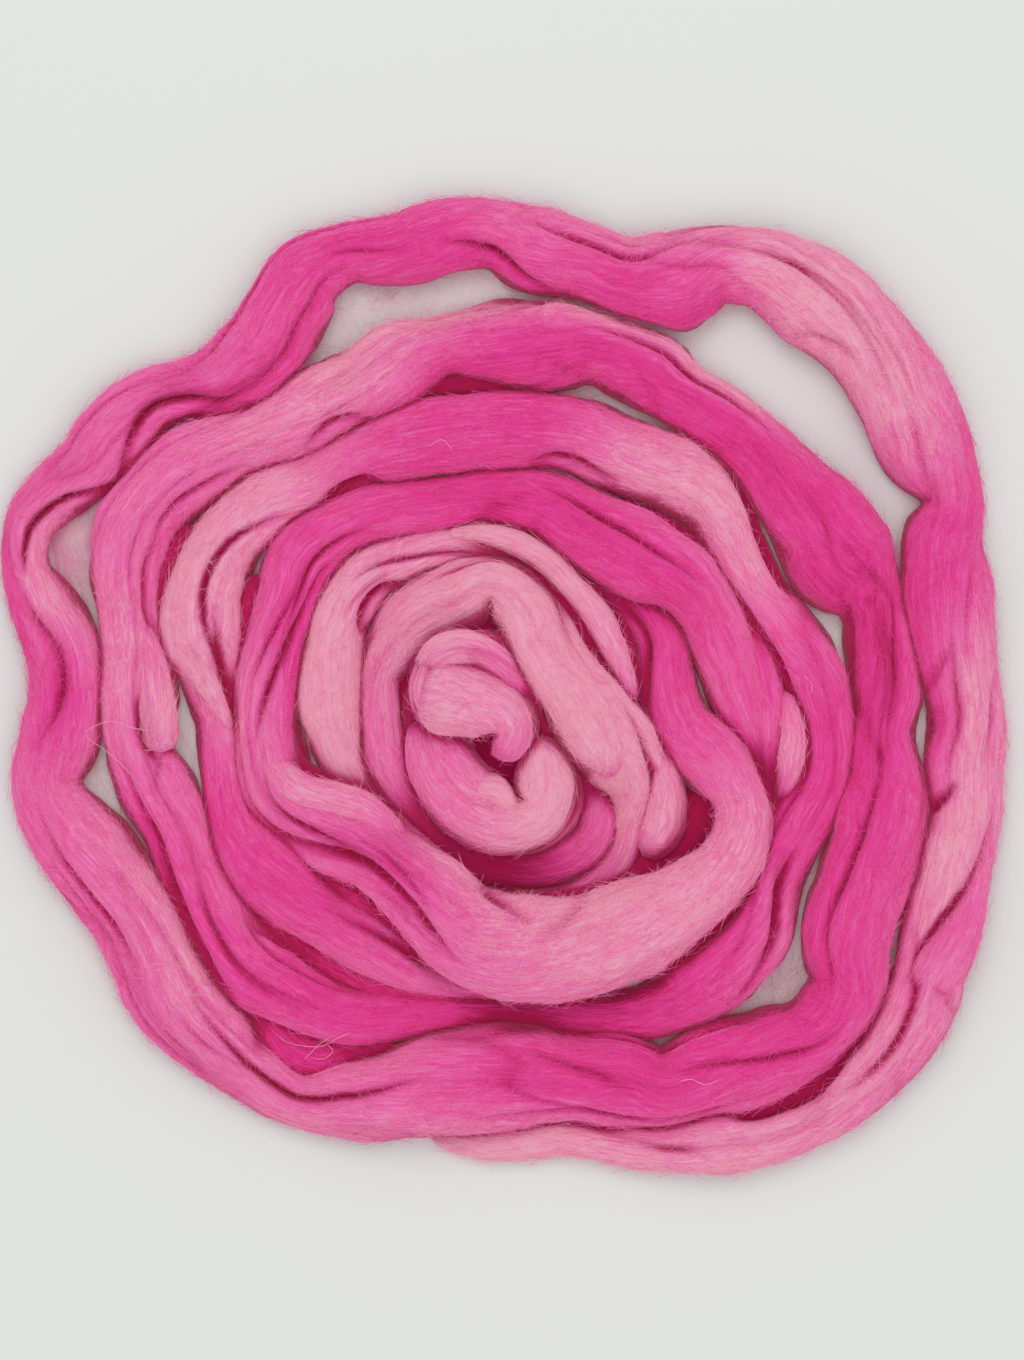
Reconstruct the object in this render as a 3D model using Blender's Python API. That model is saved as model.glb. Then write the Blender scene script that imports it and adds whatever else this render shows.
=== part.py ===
"""Wool roving: one long strand of combed wool laid on a table in a loose flat spiral.

The strand starts at its thin outer end, at the front of the spiral, and runs anticlockwise
and inwards through six turns to the curl at the heart, where its other end lies on top.
Metres, +Z up. The origin is under the middle of the spiral, on the surface it lies on.
"""
import bmesh
import bpy
import numpy as np

MM = 0.001

# How the strand is cut into rings.
STEP_AT_HEART = 4.2 * MM        # ring spacing in the tight curl at the middle
STEP_OUTSIDE = 11.0 * MM        # ring spacing from FULL_STEP_RADIUS outwards
FULL_STEP_RADIUS = 75 * MM

# How a section of the strand is shaped.
THICKNESS_PER_WIDTH = 0.48
LEAST_THICKNESS = 2.4 * MM
NEIGHBOUR_GAP = 1.1 * MM        # clear space between two turns that lie side by side
OWN_LENGTH = 26 * MM            # stretches nearer than this along the strand are not neighbours
BEND_SHARE = 0.80               # the inner half of a bend takes this much of its radius
LEAST_HALF_WIDTH = 2.0 * MM
CREASE_PITCH = 118 * MM         # the main crease wanders across the top once in this length
CREASE_REACH = 0.42             # how far it wanders, as a share of the half width
CREASE_DEPTH = 0.13             # how deep it is, as a share of the thickness
CREASE_SPREAD = 0.34

# The outline of a section, anticlockwise seen along the strand:
# share of the half width to the left, share of the thickness above the underside.
OUTLINE = (
    (0.62, 0.00), (-0.62, 0.00), (-1.00, 0.36), (-0.88, 0.71), (-0.56, 0.93),
    (-0.20, 1.00), (0.20, 1.00), (0.56, 0.93), (0.88, 0.71), (1.00, 0.36),
)

ROVING_PINK = (0.760, 0.115, 0.360, 1.0)
ROVING_ROUGHNESS = 0.92

# The middle of the finished shape, in the millimetres of the tables below.
MIDDLE = (-0.64, -0.53)

# The route, turn by turn, in millimetres. A row is a section of the strand:
# x to the right, y to the back, the width of the strand, and how far its underside is lifted.
OUTER_TURN = (
    (-29, -183, 4, 0), (-18, -185, 8, 0), (-6, -186, 11, 0), (8, -185, 12, 0),
    (23, -183, 13, 0), (42, -185, 16, 0), (62, -186, 19, 0), (82, -184, 24, 0),
    (100, -179, 28, 0), (118, -172, 30, 0),
    (134, -162, 29, 0), (147, -149, 29, 0), (157, -136, 30, 0), (166, -121, 31, 0),
    (171, -104, 30, 0), (176, -87, 31, 0), (181, -69, 32, 0), (185, -51, 29, 0),
    (185, -33, 30, 0), (186, -15, 29, 0), (184, 3, 31, 0), (180, 21, 36, 0),
    (178, 39, 36, 0), (178, 57, 31, 0), (180, 74, 25, 0), (172, 90, 36, 0),
    (162, 107, 40, 0), (151, 123, 38, 0), (138, 141, 37, 0), (123, 155, 36, 0),
    (107, 166, 31, 0), (89, 170, 29, 0), (69, 160, 41, 0), (51, 161, 36, 0),
    (33, 169, 30, 0), (15, 173, 33, 0), (-3, 180, 26, 0), (-23, 180, 30, 0),
    (-42, 175, 28, 0), (-63, 173, 25, 0), (-79, 165, 32, 0), (-89, 149, 35, 0),
    (-98, 133, 35, 0), (-112, 122, 30, 0), (-128, 118, 23, 0), (-142, 113, 25, 0),
    (-153, 102, 29, 0), (-163, 88, 29, 0), (-178, 76, 27, 0), (-188, 63, 25, 0),
    (-190, 47, 23, 0), (-183, 30, 27, 0), (-176, 13, 31, 0), (-175, -5, 30, 0),
    (-179, -23, 31, 0), (-183, -41, 29, 0), (-174, -59, 33, 0), (-161, -76, 35, 0),
    (-148, -94, 34, 0), (-139, -112, 35, 0), (-132, -128, 36, 0), (-118, -142, 33, 0),
    (-101, -156, 27, 0), (-82, -167, 22, 0), (-61, -167, 32, 0), (-40, -164, 37, 0),
    (-19, -160, 41, 0), (3, -157, 42, 0),
)
SECOND_TURN = (
    (25, -158, 34, 0), (45, -159, 36, 0), (65, -163, 32, 0), (85, -156, 36, 0),
    (105, -149, 34, 0), (125, -139, 33, 0), (140, -121, 34, 0), (141, -101, 36, 0),
    (145, -81, 37, 0), (151, -61, 37, 0), (154, -41, 31, 0), (154, -21, 26, 0),
    (154, -1, 28, 0), (153, 16, 27, 0), (148, 33, 29, 0), (136, 51, 42, 0),
    (127, 66, 38, 0), (115, 79, 33, 0), (104, 92, 30, 0), (90, 105, 27, 0),
    (71, 117, 27, 0), (54, 131, 28, 0), (37, 139, 28, 0), (17, 136, 36, 0),
    (-3, 137, 31, 0), (-23, 136, 24, 0), (-41, 129, 32, 0), (-59, 117, 32, 0),
    (-77, 109, 32, 0), (-96, 101, 29, 0), (-115, 93, 29, 0), (-133, 82, 32, 0),
    (-145, 67, 31, 0), (-151, 49, 28, 0), (-150, 32, 23, 0), (-148, 14, 25, 0),
    (-146, -4, 31, 0), (-143, -22, 28, 0), (-135, -41, 27, 0), (-129, -59, 25, 0),
    (-123, -79, 24, 0), (-114, -98, 27, 0), (-101, -114, 30, 0), (-84, -126, 31, 0),
    (-64, -134, 26, 0), (-41, -135, 17, 0),
)
THIRD_TURN = (
    (-19, -132, 12, 0), (3, -132, 11, 0), (25, -134, 12, 0), (47, -134, 15, 0),
    (65, -130, 22, 0), (79, -116, 33, 0), (96, -97, 33, 0), (110, -77, 29, 0),
    (121, -57, 28, 0), (130, -37, 24, 0), (131, -17, 25, 0), (129, 3, 27, 0),
    (122, 21, 28, 0), (109, 37, 28, 0), (98, 56, 28, 0), (86, 73, 30, 0),
    (68, 83, 32, 0), (47, 92, 30, 0), (26, 100, 27, 0), (4, 102, 27, 0),
    (-19, 100, 29, 0), (-41, 96, 28, 0), (-60, 91, 24, 0), (-76, 82, 22, 0),
    (-96, 72, 26, 0), (-112, 59, 30, 0), (-120, 41, 32, 0), (-121, 21, 31, 0),
    (-118, 3, 24, 0), (-115, -15, 17, 0), (-114, -33, 14, 0), (-111, -51, 17, 0),
    (-101, -70, 26, 0), (-85, -85, 29, 0), (-67, -98, 27, 0), (-47, -108, 25, 0),
    (-25, -119, 16, 0),
)
FOURTH_TURN = (
    (-2, -122, 11, 0), (21, -121, 12, 0), (43, -114, 12, 0), (61, -100, 12, 0),
    (77, -84, 12, 0), (92, -68, 12, 0), (102, -49, 12, 0), (105, -30, 16, 0),
    (100, -11, 23, 0), (94, 7, 26, 0), (85, 25, 26, 0), (72, 41, 29, 0),
    (53, 51, 33, 0), (35, 61, 31, 0), (17, 71, 27, 0), (-3, 75, 21, 0),
    (-23, 73, 21, 0), (-42, 70, 21, 0), (-61, 65, 22, 0), (-78, 53, 25, 0),
    (-88, 35, 28, 0), (-94, 15, 28, 0), (-95, -5, 28, 0), (-95, -25, 27, 0),
    (-88, -45, 31, 0), (-71, -59, 35, 3), (-53, -71, 37, 9), (-34, -85, 38, 11),
    (-14, -99, 41, 11), (7, -106, 43, 11),
)
FIFTH_TURN = (
    (29, -105, 43, 11), (51, -96, 40, 11), (71, -83, 36, 11), (86, -66, 32, 11),
    (93, -48, 26, 11), (87, -30, 25, 6), (73, -15, 24, 1), (64, 2, 25, 0),
    (53, 19, 23, 0), (38, 34, 17, 0), (22, 46, 14, 0), (5, 55, 13, 0),
    (-15, 56, 14, 0), (-35, 51, 18, 0), (-53, 43, 22, 0), (-66, 29, 24, 0),
    (-70, 9, 24, 0), (-69, -11, 23, 0), (-65, -30, 18, 0), (-55, -49, 13, 0),
    (-39, -68, 12, 0), (-19, -84, 12, 0), (5, -91, 12, 0),
)
SIXTH_TURN = (
    (27, -88, 13, 0), (46, -76, 16, 0), (57, -61, 20, 0), (61, -45, 26, 2),
    (54, -28, 33, 7), (41, -11, 37, 9), (26, 8, 34, 9), (13, 28, 29, 5),
    (-1, 40, 26, 1), (-19, 39, 25, 0), (-35, 29, 24, 0), (-46, 11, 17, 0),
    (-47, -9, 15, 0), (-44, -29, 15, 0), (-34, -49, 14, 0), (-18, -66, 13, 0),
    (3, -74, 13, 0),
)
HEART = (
    (23, -72, 14, 0), (37, -62, 15, 0), (40, -48, 15, 0), (33, -32, 13, 0),
    (23, -15, 12, 0), (13, 1, 12, 0), (0, 12, 12, 0), (-15, 14, 12, 0),
    (-28, 5, 12, 0), (-33, -12, 14, 0), (-29, -31, 20, 0), (-18, -49, 26, 0),
    (3, -57, 28, 0), (20, -47, 27, 0), (21, -32, 20, 4), (19, -18, 10, 9),
    (13, -4, 10, 10), (6, 8, 12, 12), (-4, 15, 14, 16), (-16, 18, 15, 19),
    (-27, 12, 17, 20), (-33, 1, 19, 20), (-32, -11, 19, 20), (-22, -17, 18, 20),
    (-10, -10, 18, 20), (4, -11, 21, 20), (9, -23, 20, 20), (2, -31, 14, 20),
    (-6, -29, 6, 20),
)
ROUTE = OUTER_TURN + SECOND_TURN + THIRD_TURN + FOURTH_TURN + FIFTH_TURN + SIXTH_TURN + HEART


def clear_scene():
    """Remove whatever the scene holds."""
    for item in list(bpy.data.objects):
        bpy.data.objects.remove(item, do_unlink=True)


def smooth_curve(rows, steps_per_row):
    """Points on a smooth curve through the rows, spaced evenly by chord between two rows."""
    chord = np.linalg.norm(np.diff(rows[:, :2], axis=0), axis=1)
    at = np.concatenate(([0.0], np.cumsum(chord)))
    slope = np.gradient(rows, at, axis=0)
    points = []
    for row in range(len(rows) - 1):
        span = at[row + 1] - at[row]
        for step in range(steps_per_row):
            t = step / steps_per_row
            points.append(
                rows[row] * (1 + 2 * t) * (1 - t) ** 2
                + slope[row] * span * t * (1 - t) ** 2
                + rows[row + 1] * t * t * (3 - 2 * t)
                - slope[row + 1] * span * t * t * (1 - t)
            )
    points.append(rows[-1])
    return np.array(points)


def cut_into_rings(curve):
    """Pick ring places along a dense curve, close together near the heart."""
    run = np.concatenate(([0.0], np.cumsum(np.linalg.norm(np.diff(curve[:, :2], axis=0), axis=1))))
    radius = np.hypot(curve[:, 0], curve[:, 1])
    share = np.clip(radius / FULL_STEP_RADIUS, 0.0, 1.0)
    step = STEP_AT_HEART + (STEP_OUTSIDE - STEP_AT_HEART) * share
    count_along = np.concatenate(([0.0], np.cumsum(np.diff(run) / (0.5 * (step[1:] + step[:-1])))))
    ring_count = int(round(count_along[-1])) + 1
    where = np.interp(np.linspace(0.0, count_along[-1], ring_count), count_along, run)
    rings = np.column_stack([np.interp(where, run, curve[:, column]) for column in range(4)])
    return rings, where


def frames(rings):
    """Unit directions along the strand and to its left, and the radius of the bend there."""
    along = np.gradient(rings[:, :2], axis=0)
    along /= np.linalg.norm(along, axis=1)[:, None]
    left = np.column_stack((-along[:, 1], along[:, 0]))
    turn = np.einsum("ij,ij->i", np.gradient(along, axis=0), left)
    length = np.linalg.norm(np.gradient(rings[:, :2], axis=0), axis=1)
    curvature = turn / length
    return along, left, curvature


def pressed_half_widths(rings, where, along, left, curvature):
    """Half widths to the left and right, where neighbours press against each other."""
    half = 0.5 * rings[:, 2]
    thick = LEAST_THICKNESS + THICKNESS_PER_WIDTH * rings[:, 2]
    middle = rings[:, 3] + 0.5 * thick
    limits = np.full((len(rings), 2), np.inf)
    for ring in range(len(rings)):
        away = rings[:, :2] - rings[ring, :2]
        distance = np.linalg.norm(away, axis=1)
        reach = half + half[ring] + NEIGHBOUR_GAP
        near = (np.abs(where - where[ring]) > OWN_LENGTH) & (distance < 1.3 * reach)
        near &= np.abs(away @ along[ring]) < 0.55 * distance
        for other in np.flatnonzero(near):
            rise = abs(middle[other] - middle[ring]) / (0.54 * (thick[other] + thick[ring]) + 0.5 * MM)
            if rise >= 1.0:
                continue
            room = (distance[other] - NEIGHBOUR_GAP) / np.sqrt(1.0 - rise * rise)
            own_share = half[ring] / (half[ring] + half[other])
            side = 0 if away[other] @ left[ring] > 0 else 1
            limits[ring, side] = min(limits[ring, side], room * own_share)
    bend_limit = BEND_SHARE / np.maximum(np.abs(curvature), 1e-6)
    inner_side = np.where(curvature > 0, 0, 1)
    every = np.arange(len(rings))
    limits[every, inner_side] = np.minimum(limits[every, inner_side], bend_limit)
    widths = np.minimum(half[:, None], limits)
    narrowest = widths.copy()
    narrowest[1:] = np.minimum(narrowest[1:], widths[:-1])
    narrowest[:-1] = np.minimum(narrowest[:-1], widths[1:])
    eased = narrowest.copy()
    eased[1:-1] = 0.25 * narrowest[:-2] + 0.5 * narrowest[1:-1] + 0.25 * narrowest[2:]
    eased = np.minimum(eased, widths)
    return np.maximum(eased, LEAST_HALF_WIDTH), thick


def ring_points(centre, left, half_widths, lift, thick, crease):
    """One closed ring of the strand's surface, with the dent of the main crease in its top."""
    points = []
    for across, up in OUTLINE:
        half = half_widths[0] if across > 0 else half_widths[1]
        dent = CREASE_DEPTH * max(0.0, 1.0 - abs(across - crease) / CREASE_SPREAD)
        height = lift + thick * up * (1.0 - dent)
        place = centre + left * (across * half)
        points.append((place[0], place[1], height))
    return points


def strand_rings():
    """All rings of the strand, from the outer end to the heart, in metres."""
    rows = np.array(ROUTE, dtype=float)
    rows[:, :2] -= np.array(MIDDLE)
    rows *= MM
    curve = smooth_curve(rows, 12)
    rings, where = cut_into_rings(curve)
    along, left, curvature = frames(rings)
    half_widths, thick = pressed_half_widths(rings, where, along, left, curvature)
    crease = CREASE_REACH * np.sin(2.0 * np.pi * where / CREASE_PITCH)
    return [
        ring_points(rings[k, :2], left[k], half_widths[k], max(rings[k, 3], 0.0), thick[k], crease[k])
        for k in range(len(rings))
    ]


def wool_material():
    """Dyed wool in the mean colour of the strand."""
    material = bpy.data.materials.new("dyed_wool")
    material.use_nodes = True
    shader = material.node_tree.nodes["Principled BSDF"]
    shader.inputs["Base Color"].default_value = ROVING_PINK
    shader.inputs["Roughness"].default_value = ROVING_ROUGHNESS
    shader.inputs["Metallic"].default_value = 0.0
    return material


def build_roving():
    """The strand as one closed solid: rings joined by faces and capped at both ends."""
    shell = bmesh.new()
    loops = [[shell.verts.new(point) for point in ring] for ring in strand_rings()]
    sides = len(OUTLINE)
    for first, second in zip(loops[:-1], loops[1:]):
        for side in range(sides):
            after = (side + 1) % sides
            shell.faces.new((first[side], first[after], second[after], second[side]))
    shell.faces.new(list(reversed(loops[0])))
    shell.faces.new(loops[-1])
    bmesh.ops.recalc_face_normals(shell, faces=shell.faces[:])
    bmesh.ops.triangulate(shell, faces=shell.faces[:])
    mesh = bpy.data.meshes.new("roving")
    shell.to_mesh(mesh)
    shell.free()
    mesh.shade_smooth()
    mesh.materials.append(wool_material())
    roving = bpy.data.objects.new("roving", mesh)
    bpy.context.scene.collection.objects.link(roving)
    return roving


def main():
    """Build the whole part."""
    clear_scene()
    build_roving()


if __name__ == "__main__":
    main()
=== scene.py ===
"""Wool roving: one strand of hand-dyed combed wool in a loose flat spiral on a white surface.

The strand follows the same route as the part's solid. Its surface is a grid of stations along
the strand and points round each section, pushed in along its creases. Locks, lying fibres,
fuzz, thin veils over the gaps and a few stray hairs are laid on it, and the dye follows a short
table. Shade in its creases, hollows and gaps and a glow through the wool are painted into its
colour. Metres, +Z up.
"""

import functools
import math

import bpy
import numpy as np
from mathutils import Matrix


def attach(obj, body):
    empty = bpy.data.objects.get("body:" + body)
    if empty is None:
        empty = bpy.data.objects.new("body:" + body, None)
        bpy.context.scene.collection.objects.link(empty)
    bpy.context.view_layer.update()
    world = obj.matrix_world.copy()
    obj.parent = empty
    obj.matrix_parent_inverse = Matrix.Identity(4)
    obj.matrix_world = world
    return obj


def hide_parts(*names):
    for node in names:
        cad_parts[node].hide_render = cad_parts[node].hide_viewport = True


bl_info = {
    "name": "Wool roving",
    "version": (1, 0, 0),
    "blender": (4, 5, 0),
    "location": "View3D > Sidebar > Roving",
    "description": "Builds a loose spiral of hand-dyed combed wool",
    "category": "Add Mesh",
}

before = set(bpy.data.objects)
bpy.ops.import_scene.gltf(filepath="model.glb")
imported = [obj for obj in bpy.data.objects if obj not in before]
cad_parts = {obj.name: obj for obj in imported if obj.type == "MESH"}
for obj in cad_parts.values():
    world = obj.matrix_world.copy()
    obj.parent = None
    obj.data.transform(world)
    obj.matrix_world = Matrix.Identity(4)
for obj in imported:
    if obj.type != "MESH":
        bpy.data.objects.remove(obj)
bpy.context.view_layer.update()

MM = 0.001

# The picture's height in pixels, and the size of a pixel in mm at the wool's mean height in mm.
PICTURE_HEIGHT = 1360
PIXEL = 0.4
WOOL_HEIGHT = 10

# The middle of the spiral, in the millimetres of the route.
MIDDLE = (-0.64, -0.53)

# How far apart the points of the strand's path are.
PATH_STEP = 8 * MM
# The floor lies this far below the wool, so that the two don't share a plane.
FLOOR_DROP = 0.2 * MM
# No point of the wool lies lower than the first, and no fibre's middle lower than the second.
LOWEST, LOWEST_FIBRE = 0.02 * MM, 0.1 * MM
# Sides of a single fibre, and the fibres that are tried for each one that is kept.
SIDES, TRIES = 3, 3.2
# Points round the strand's section. A fibre's way round the section is told in them.
STRAND_POINTS = 52
# Kinds of fibre. The length of one, and its lift off the surface: the least in mm, what chance
# adds, and the power of that chance. Its drift and curl round the section, the waves of its
# curl, and how far below the section's edges it may start.
FUZZ = {"length": (3.0, 8.0, 1.8), "lift": (0.5, 3.4, 1.6), "drift": 4.5, "curl": 1.2,
        "wave": 4.0, "below": 2.2}
LYING = {"length": (14.0, 32.0, 1.0), "lift": (0.06, 0.26, 2.0), "drift": 2.2, "curl": 0.4,
         "wave": 5.0, "below": 1.4}
# How strongly fuzz keeps to the edges of a section: below 1, the less the stronger.
AT_EDGES = 0.36

# Noise in the wool: the size of its cells along the fibres and across them in mm, and its seed.
PATTERNS = {
    "wander": ((70, 30, 30), 5),
    "lobes": ((120, 14, 14), 11),
    "small_lobes": ((60, 6, 6), 23),
    "swell": ((40, 15, 15), 37),
    "lobed_places": ((110, 45, 45), 41),
}
EDGE_SEED = 61
# Seeds of the first lock and the first veil; the others count on from there.
FIRST_LOCK_SEED, FIRST_VEIL_SEED = 3, 51
# Slow twists of the strand: swing in radians, length in metres, and where each starts.
TWISTS = ((0.9, 0.143, 0.4), (0.5, 0.059, 1.9))
# Unevenness of the edges: length and size in mm.
EDGE_WAVES = ((24, 1.3), (9, 0.5))

# The route, turn by turn, in millimetres. A row is a section of the strand:
# x to the right, y to the back, the width of the strand, and how far its underside is lifted.
OUTER_TURN = (
    (-29, -183, 4, 0), (-18, -185, 8, 0), (-6, -186, 11, 0), (8, -185, 12, 0),
    (23, -183, 13, 0), (42, -185, 16, 0), (62, -186, 19, 0), (82, -184, 24, 0),
    (100, -182, 23, 0), (118, -176, 24, 0),
    (136, -164, 29, 0), (151, -150, 32, 0), (160, -137, 33, 0), (167, -122, 34, 0),
    (171, -104, 30, 0), (176, -87, 31, 0), (181, -69, 32, 0), (185, -51, 29, 0),
    (185, -33, 30, 0), (187, -15, 27, 0), (184, 3, 31, 0), (180, 21, 36, 0),
    (177, 39, 39, 0), (177, 56, 34, 0), (180, 74, 25, 0), (172, 90, 36, 0),
    (164, 108, 40, 0), (154, 125, 40, 0), (141, 142, 39, 0), (124, 156, 38, 0),
    (107, 166, 31, 0), (88, 169, 29, 0), (66, 161, 40, 0), (50, 161, 36, 0),
    (33, 169, 30, 0), (15, 173, 33, 0), (-3, 180, 26, 0), (-23, 180, 30, 0),
    (-42, 175, 28, 0), (-63, 173, 25, 0), (-79, 165, 32, 0), (-89, 149, 35, 0),
    (-98, 133, 35, 0), (-112, 122, 30, 0), (-128, 118, 23, 0), (-142, 113, 25, 0),
    (-153, 102, 29, 0), (-164, 89, 28, 0), (-179, 78, 22, 0), (-190, 64, 20, 0),
    (-191, 48, 20, 0), (-183, 30, 27, 0), (-176, 13, 30, 0), (-175, -5, 30, 0),
    (-179, -23, 31, 0), (-183, -41, 29, 0), (-174, -59, 33, 0), (-161, -76, 35, 0),
    (-148, -94, 34, 0), (-139, -112, 35, 0), (-132, -128, 36, 0), (-118, -142, 33, 0),
    (-101, -156, 27, 0), (-82, -167, 22, 0), (-61, -167, 32, 0), (-40, -164, 37, 0),
    (-19, -160, 41, 0), (3, -157, 42, 0),
)
SECOND_TURN = (
    (25, -158, 34, 0), (45, -159, 36, 0), (65, -163, 32, 0), (85, -156, 36, 0),
    (106, -150, 32, 0), (127, -142, 33, 0), (141, -122, 36, 0), (140, -101, 38, 0),
    (145, -81, 36, 0), (151, -61, 37, 0), (154, -41, 31, 0), (152, -21, 25, 0),
    (154, -1, 28, 0), (153, 16, 27, 0), (150, 33, 27, 0), (136, 51, 42, 0),
    (127, 66, 38, 0), (115, 79, 33, 0), (104, 92, 30, 0), (90, 105, 27, 0),
    (71, 117, 27, 0), (54, 129, 31, 0), (37, 136, 32, 0), (17, 136, 36, 0),
    (-3, 137, 31, 0), (-23, 136, 24, 0), (-41, 129, 32, 0), (-59, 117, 32, 0),
    (-77, 109, 32, 0), (-96, 101, 29, 0), (-115, 93, 29, 0), (-133, 82, 32, 0),
    (-145, 67, 31, 0), (-151, 49, 28, 0), (-150, 32, 23, 0), (-148, 14, 25, 0),
    (-147, -4, 29, 0), (-146, -22, 26, 0), (-139, -41, 28, 0), (-130, -59, 25, 0),
    (-123, -79, 24, 0), (-114, -98, 27, 0), (-101, -114, 30, 0), (-83, -125, 27, 0),
    (-64, -133, 23, 0), (-41, -134, 16, 0),
)
THIRD_TURN = (
    (-19, -132, 12, 0), (3, -132, 11, 0), (25, -134, 12, 0), (47, -134, 15, 0),
    (65, -130, 22, 0), (81, -117, 37, 0), (98, -99, 37, 0), (107, -78, 25, 0),
    (118, -57, 23, 0), (128, -37, 22, 0), (129, -17, 23, 0), (124, 3, 26, 0),
    (115, 20, 22, 0), (103, 37, 21, 0), (93, 56, 24, 0), (84, 73, 28, 0),
    (68, 83, 32, 0), (47, 92, 30, 0), (26, 100, 27, 0), (4, 102, 27, 0),
    (-19, 100, 29, 0), (-41, 96, 28, 0), (-60, 91, 24, 0), (-76, 81, 21, 0),
    (-95, 71, 24, 0), (-110, 58, 26, 0), (-119, 41, 28, 0), (-121, 21, 30, 0),
    (-118, 3, 21, 0), (-114, -15, 15, 0), (-113, -33, 14, 0), (-111, -51, 16, 0),
    (-101, -70, 26, 0), (-85, -85, 28, 0), (-66, -97, 24, 0), (-47, -108, 24, 0),
    (-25, -119, 16, 0),
)
FOURTH_TURN = (
    (-2, -122, 11, 0), (21, -121, 12, 0), (43, -114, 12, 0), (61, -100, 12, 0),
    (77, -84, 12, 0), (92, -68, 12, 0), (102, -49, 12, 0), (105, -30, 16, 0),
    (99, -11, 22, 0), (92, 8, 24, 0), (85, 25, 25, 1), (71, 41, 29, 4),
    (53, 51, 34, 6), (35, 61, 31, 4), (17, 71, 27, 1), (-3, 75, 21, 0),
    (-23, 73, 21, 0), (-42, 70, 21, 0), (-61, 65, 22, 0), (-78, 53, 25, 0),
    (-84, 34, 26, 0), (-91, 15, 26, 0), (-95, -5, 26, 0), (-95, -25, 26, 0),
    (-89, -46, 28, 0), (-70, -57, 33, 4), (-50, -67, 32, 9), (-32, -82, 36, 11),
    (-14, -99, 41, 11), (7, -106, 43, 11),
)
FIFTH_TURN = (
    (29, -105, 43, 11), (52, -97, 40, 11), (75, -85, 33, 11), (91, -69, 25, 11),
    (96, -49, 22, 11), (85, -31, 25, 7), (71, -16, 24, 2), (65, 2, 23, 0),
    (62, 19, 22, 0), (49, 34, 17, 0), (30, 46, 14, 0), (9, 54, 13, 0),
    (-14, 56, 14, 0), (-35, 51, 18, 0), (-53, 43, 22, 0), (-65, 29, 24, 0),
    (-68, 9, 23, 0), (-68, -11, 23, 0), (-64, -30, 17, 0), (-55, -49, 13, 0),
    (-39, -68, 12, 0), (-19, -84, 12, 0), (5, -91, 12, 0),
)
SIXTH_TURN = (
    (27, -88, 13, 0), (46, -76, 16, 0), (55, -61, 20, 0), (56, -44, 25, 2),
    (48, -28, 31, 7), (35, -13, 32, 9), (22, 6, 29, 9), (11, 26, 25, 6),
    (-2, 39, 25, 1), (-19, 39, 25, 0), (-35, 29, 24, 0), (-46, 11, 17, 0),
    (-48, -9, 17, 0), (-46, -29, 19, 0), (-36, -50, 18, 0), (-19, -67, 15, 0),
    (3, -74, 13, 0),
)
HEART = (
    (23, -72, 14, 0), (37, -62, 15, 0), (40, -48, 15, 0), (33, -32, 13, 0),
    (23, -15, 12, 0), (13, 1, 12, 0), (0, 12, 12, 0), (-15, 14, 12, 0),
    (-27, 5, 12, 0), (-32, -12, 14, 0), (-28, -31, 20, 0), (-17, -48, 26, 0),
    (3, -57, 28, 0), (19, -47, 25, 0), (20, -32, 19, 4), (17, -18, 9, 9),
    (13, -5, 9, 10), (7, 5, 10, 12), (-2, 12, 11, 16), (-12, 15, 12, 19),
    (-22, 12, 14, 20), (-28, 4, 15, 20), (-29, -5, 16, 20), (-23, -12, 17, 19),
    (-12, -9, 18, 18), (0, -11, 19, 18), (4, -20, 17, 18), (0, -27, 12, 18),
    (-5, -28, 6, 18),
)
ROUTE = OUTER_TURN + SECOND_TURN + THIRD_TURN + FOURTH_TURN + FIFTH_TURN + SIXTH_TURN + HEART
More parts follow.
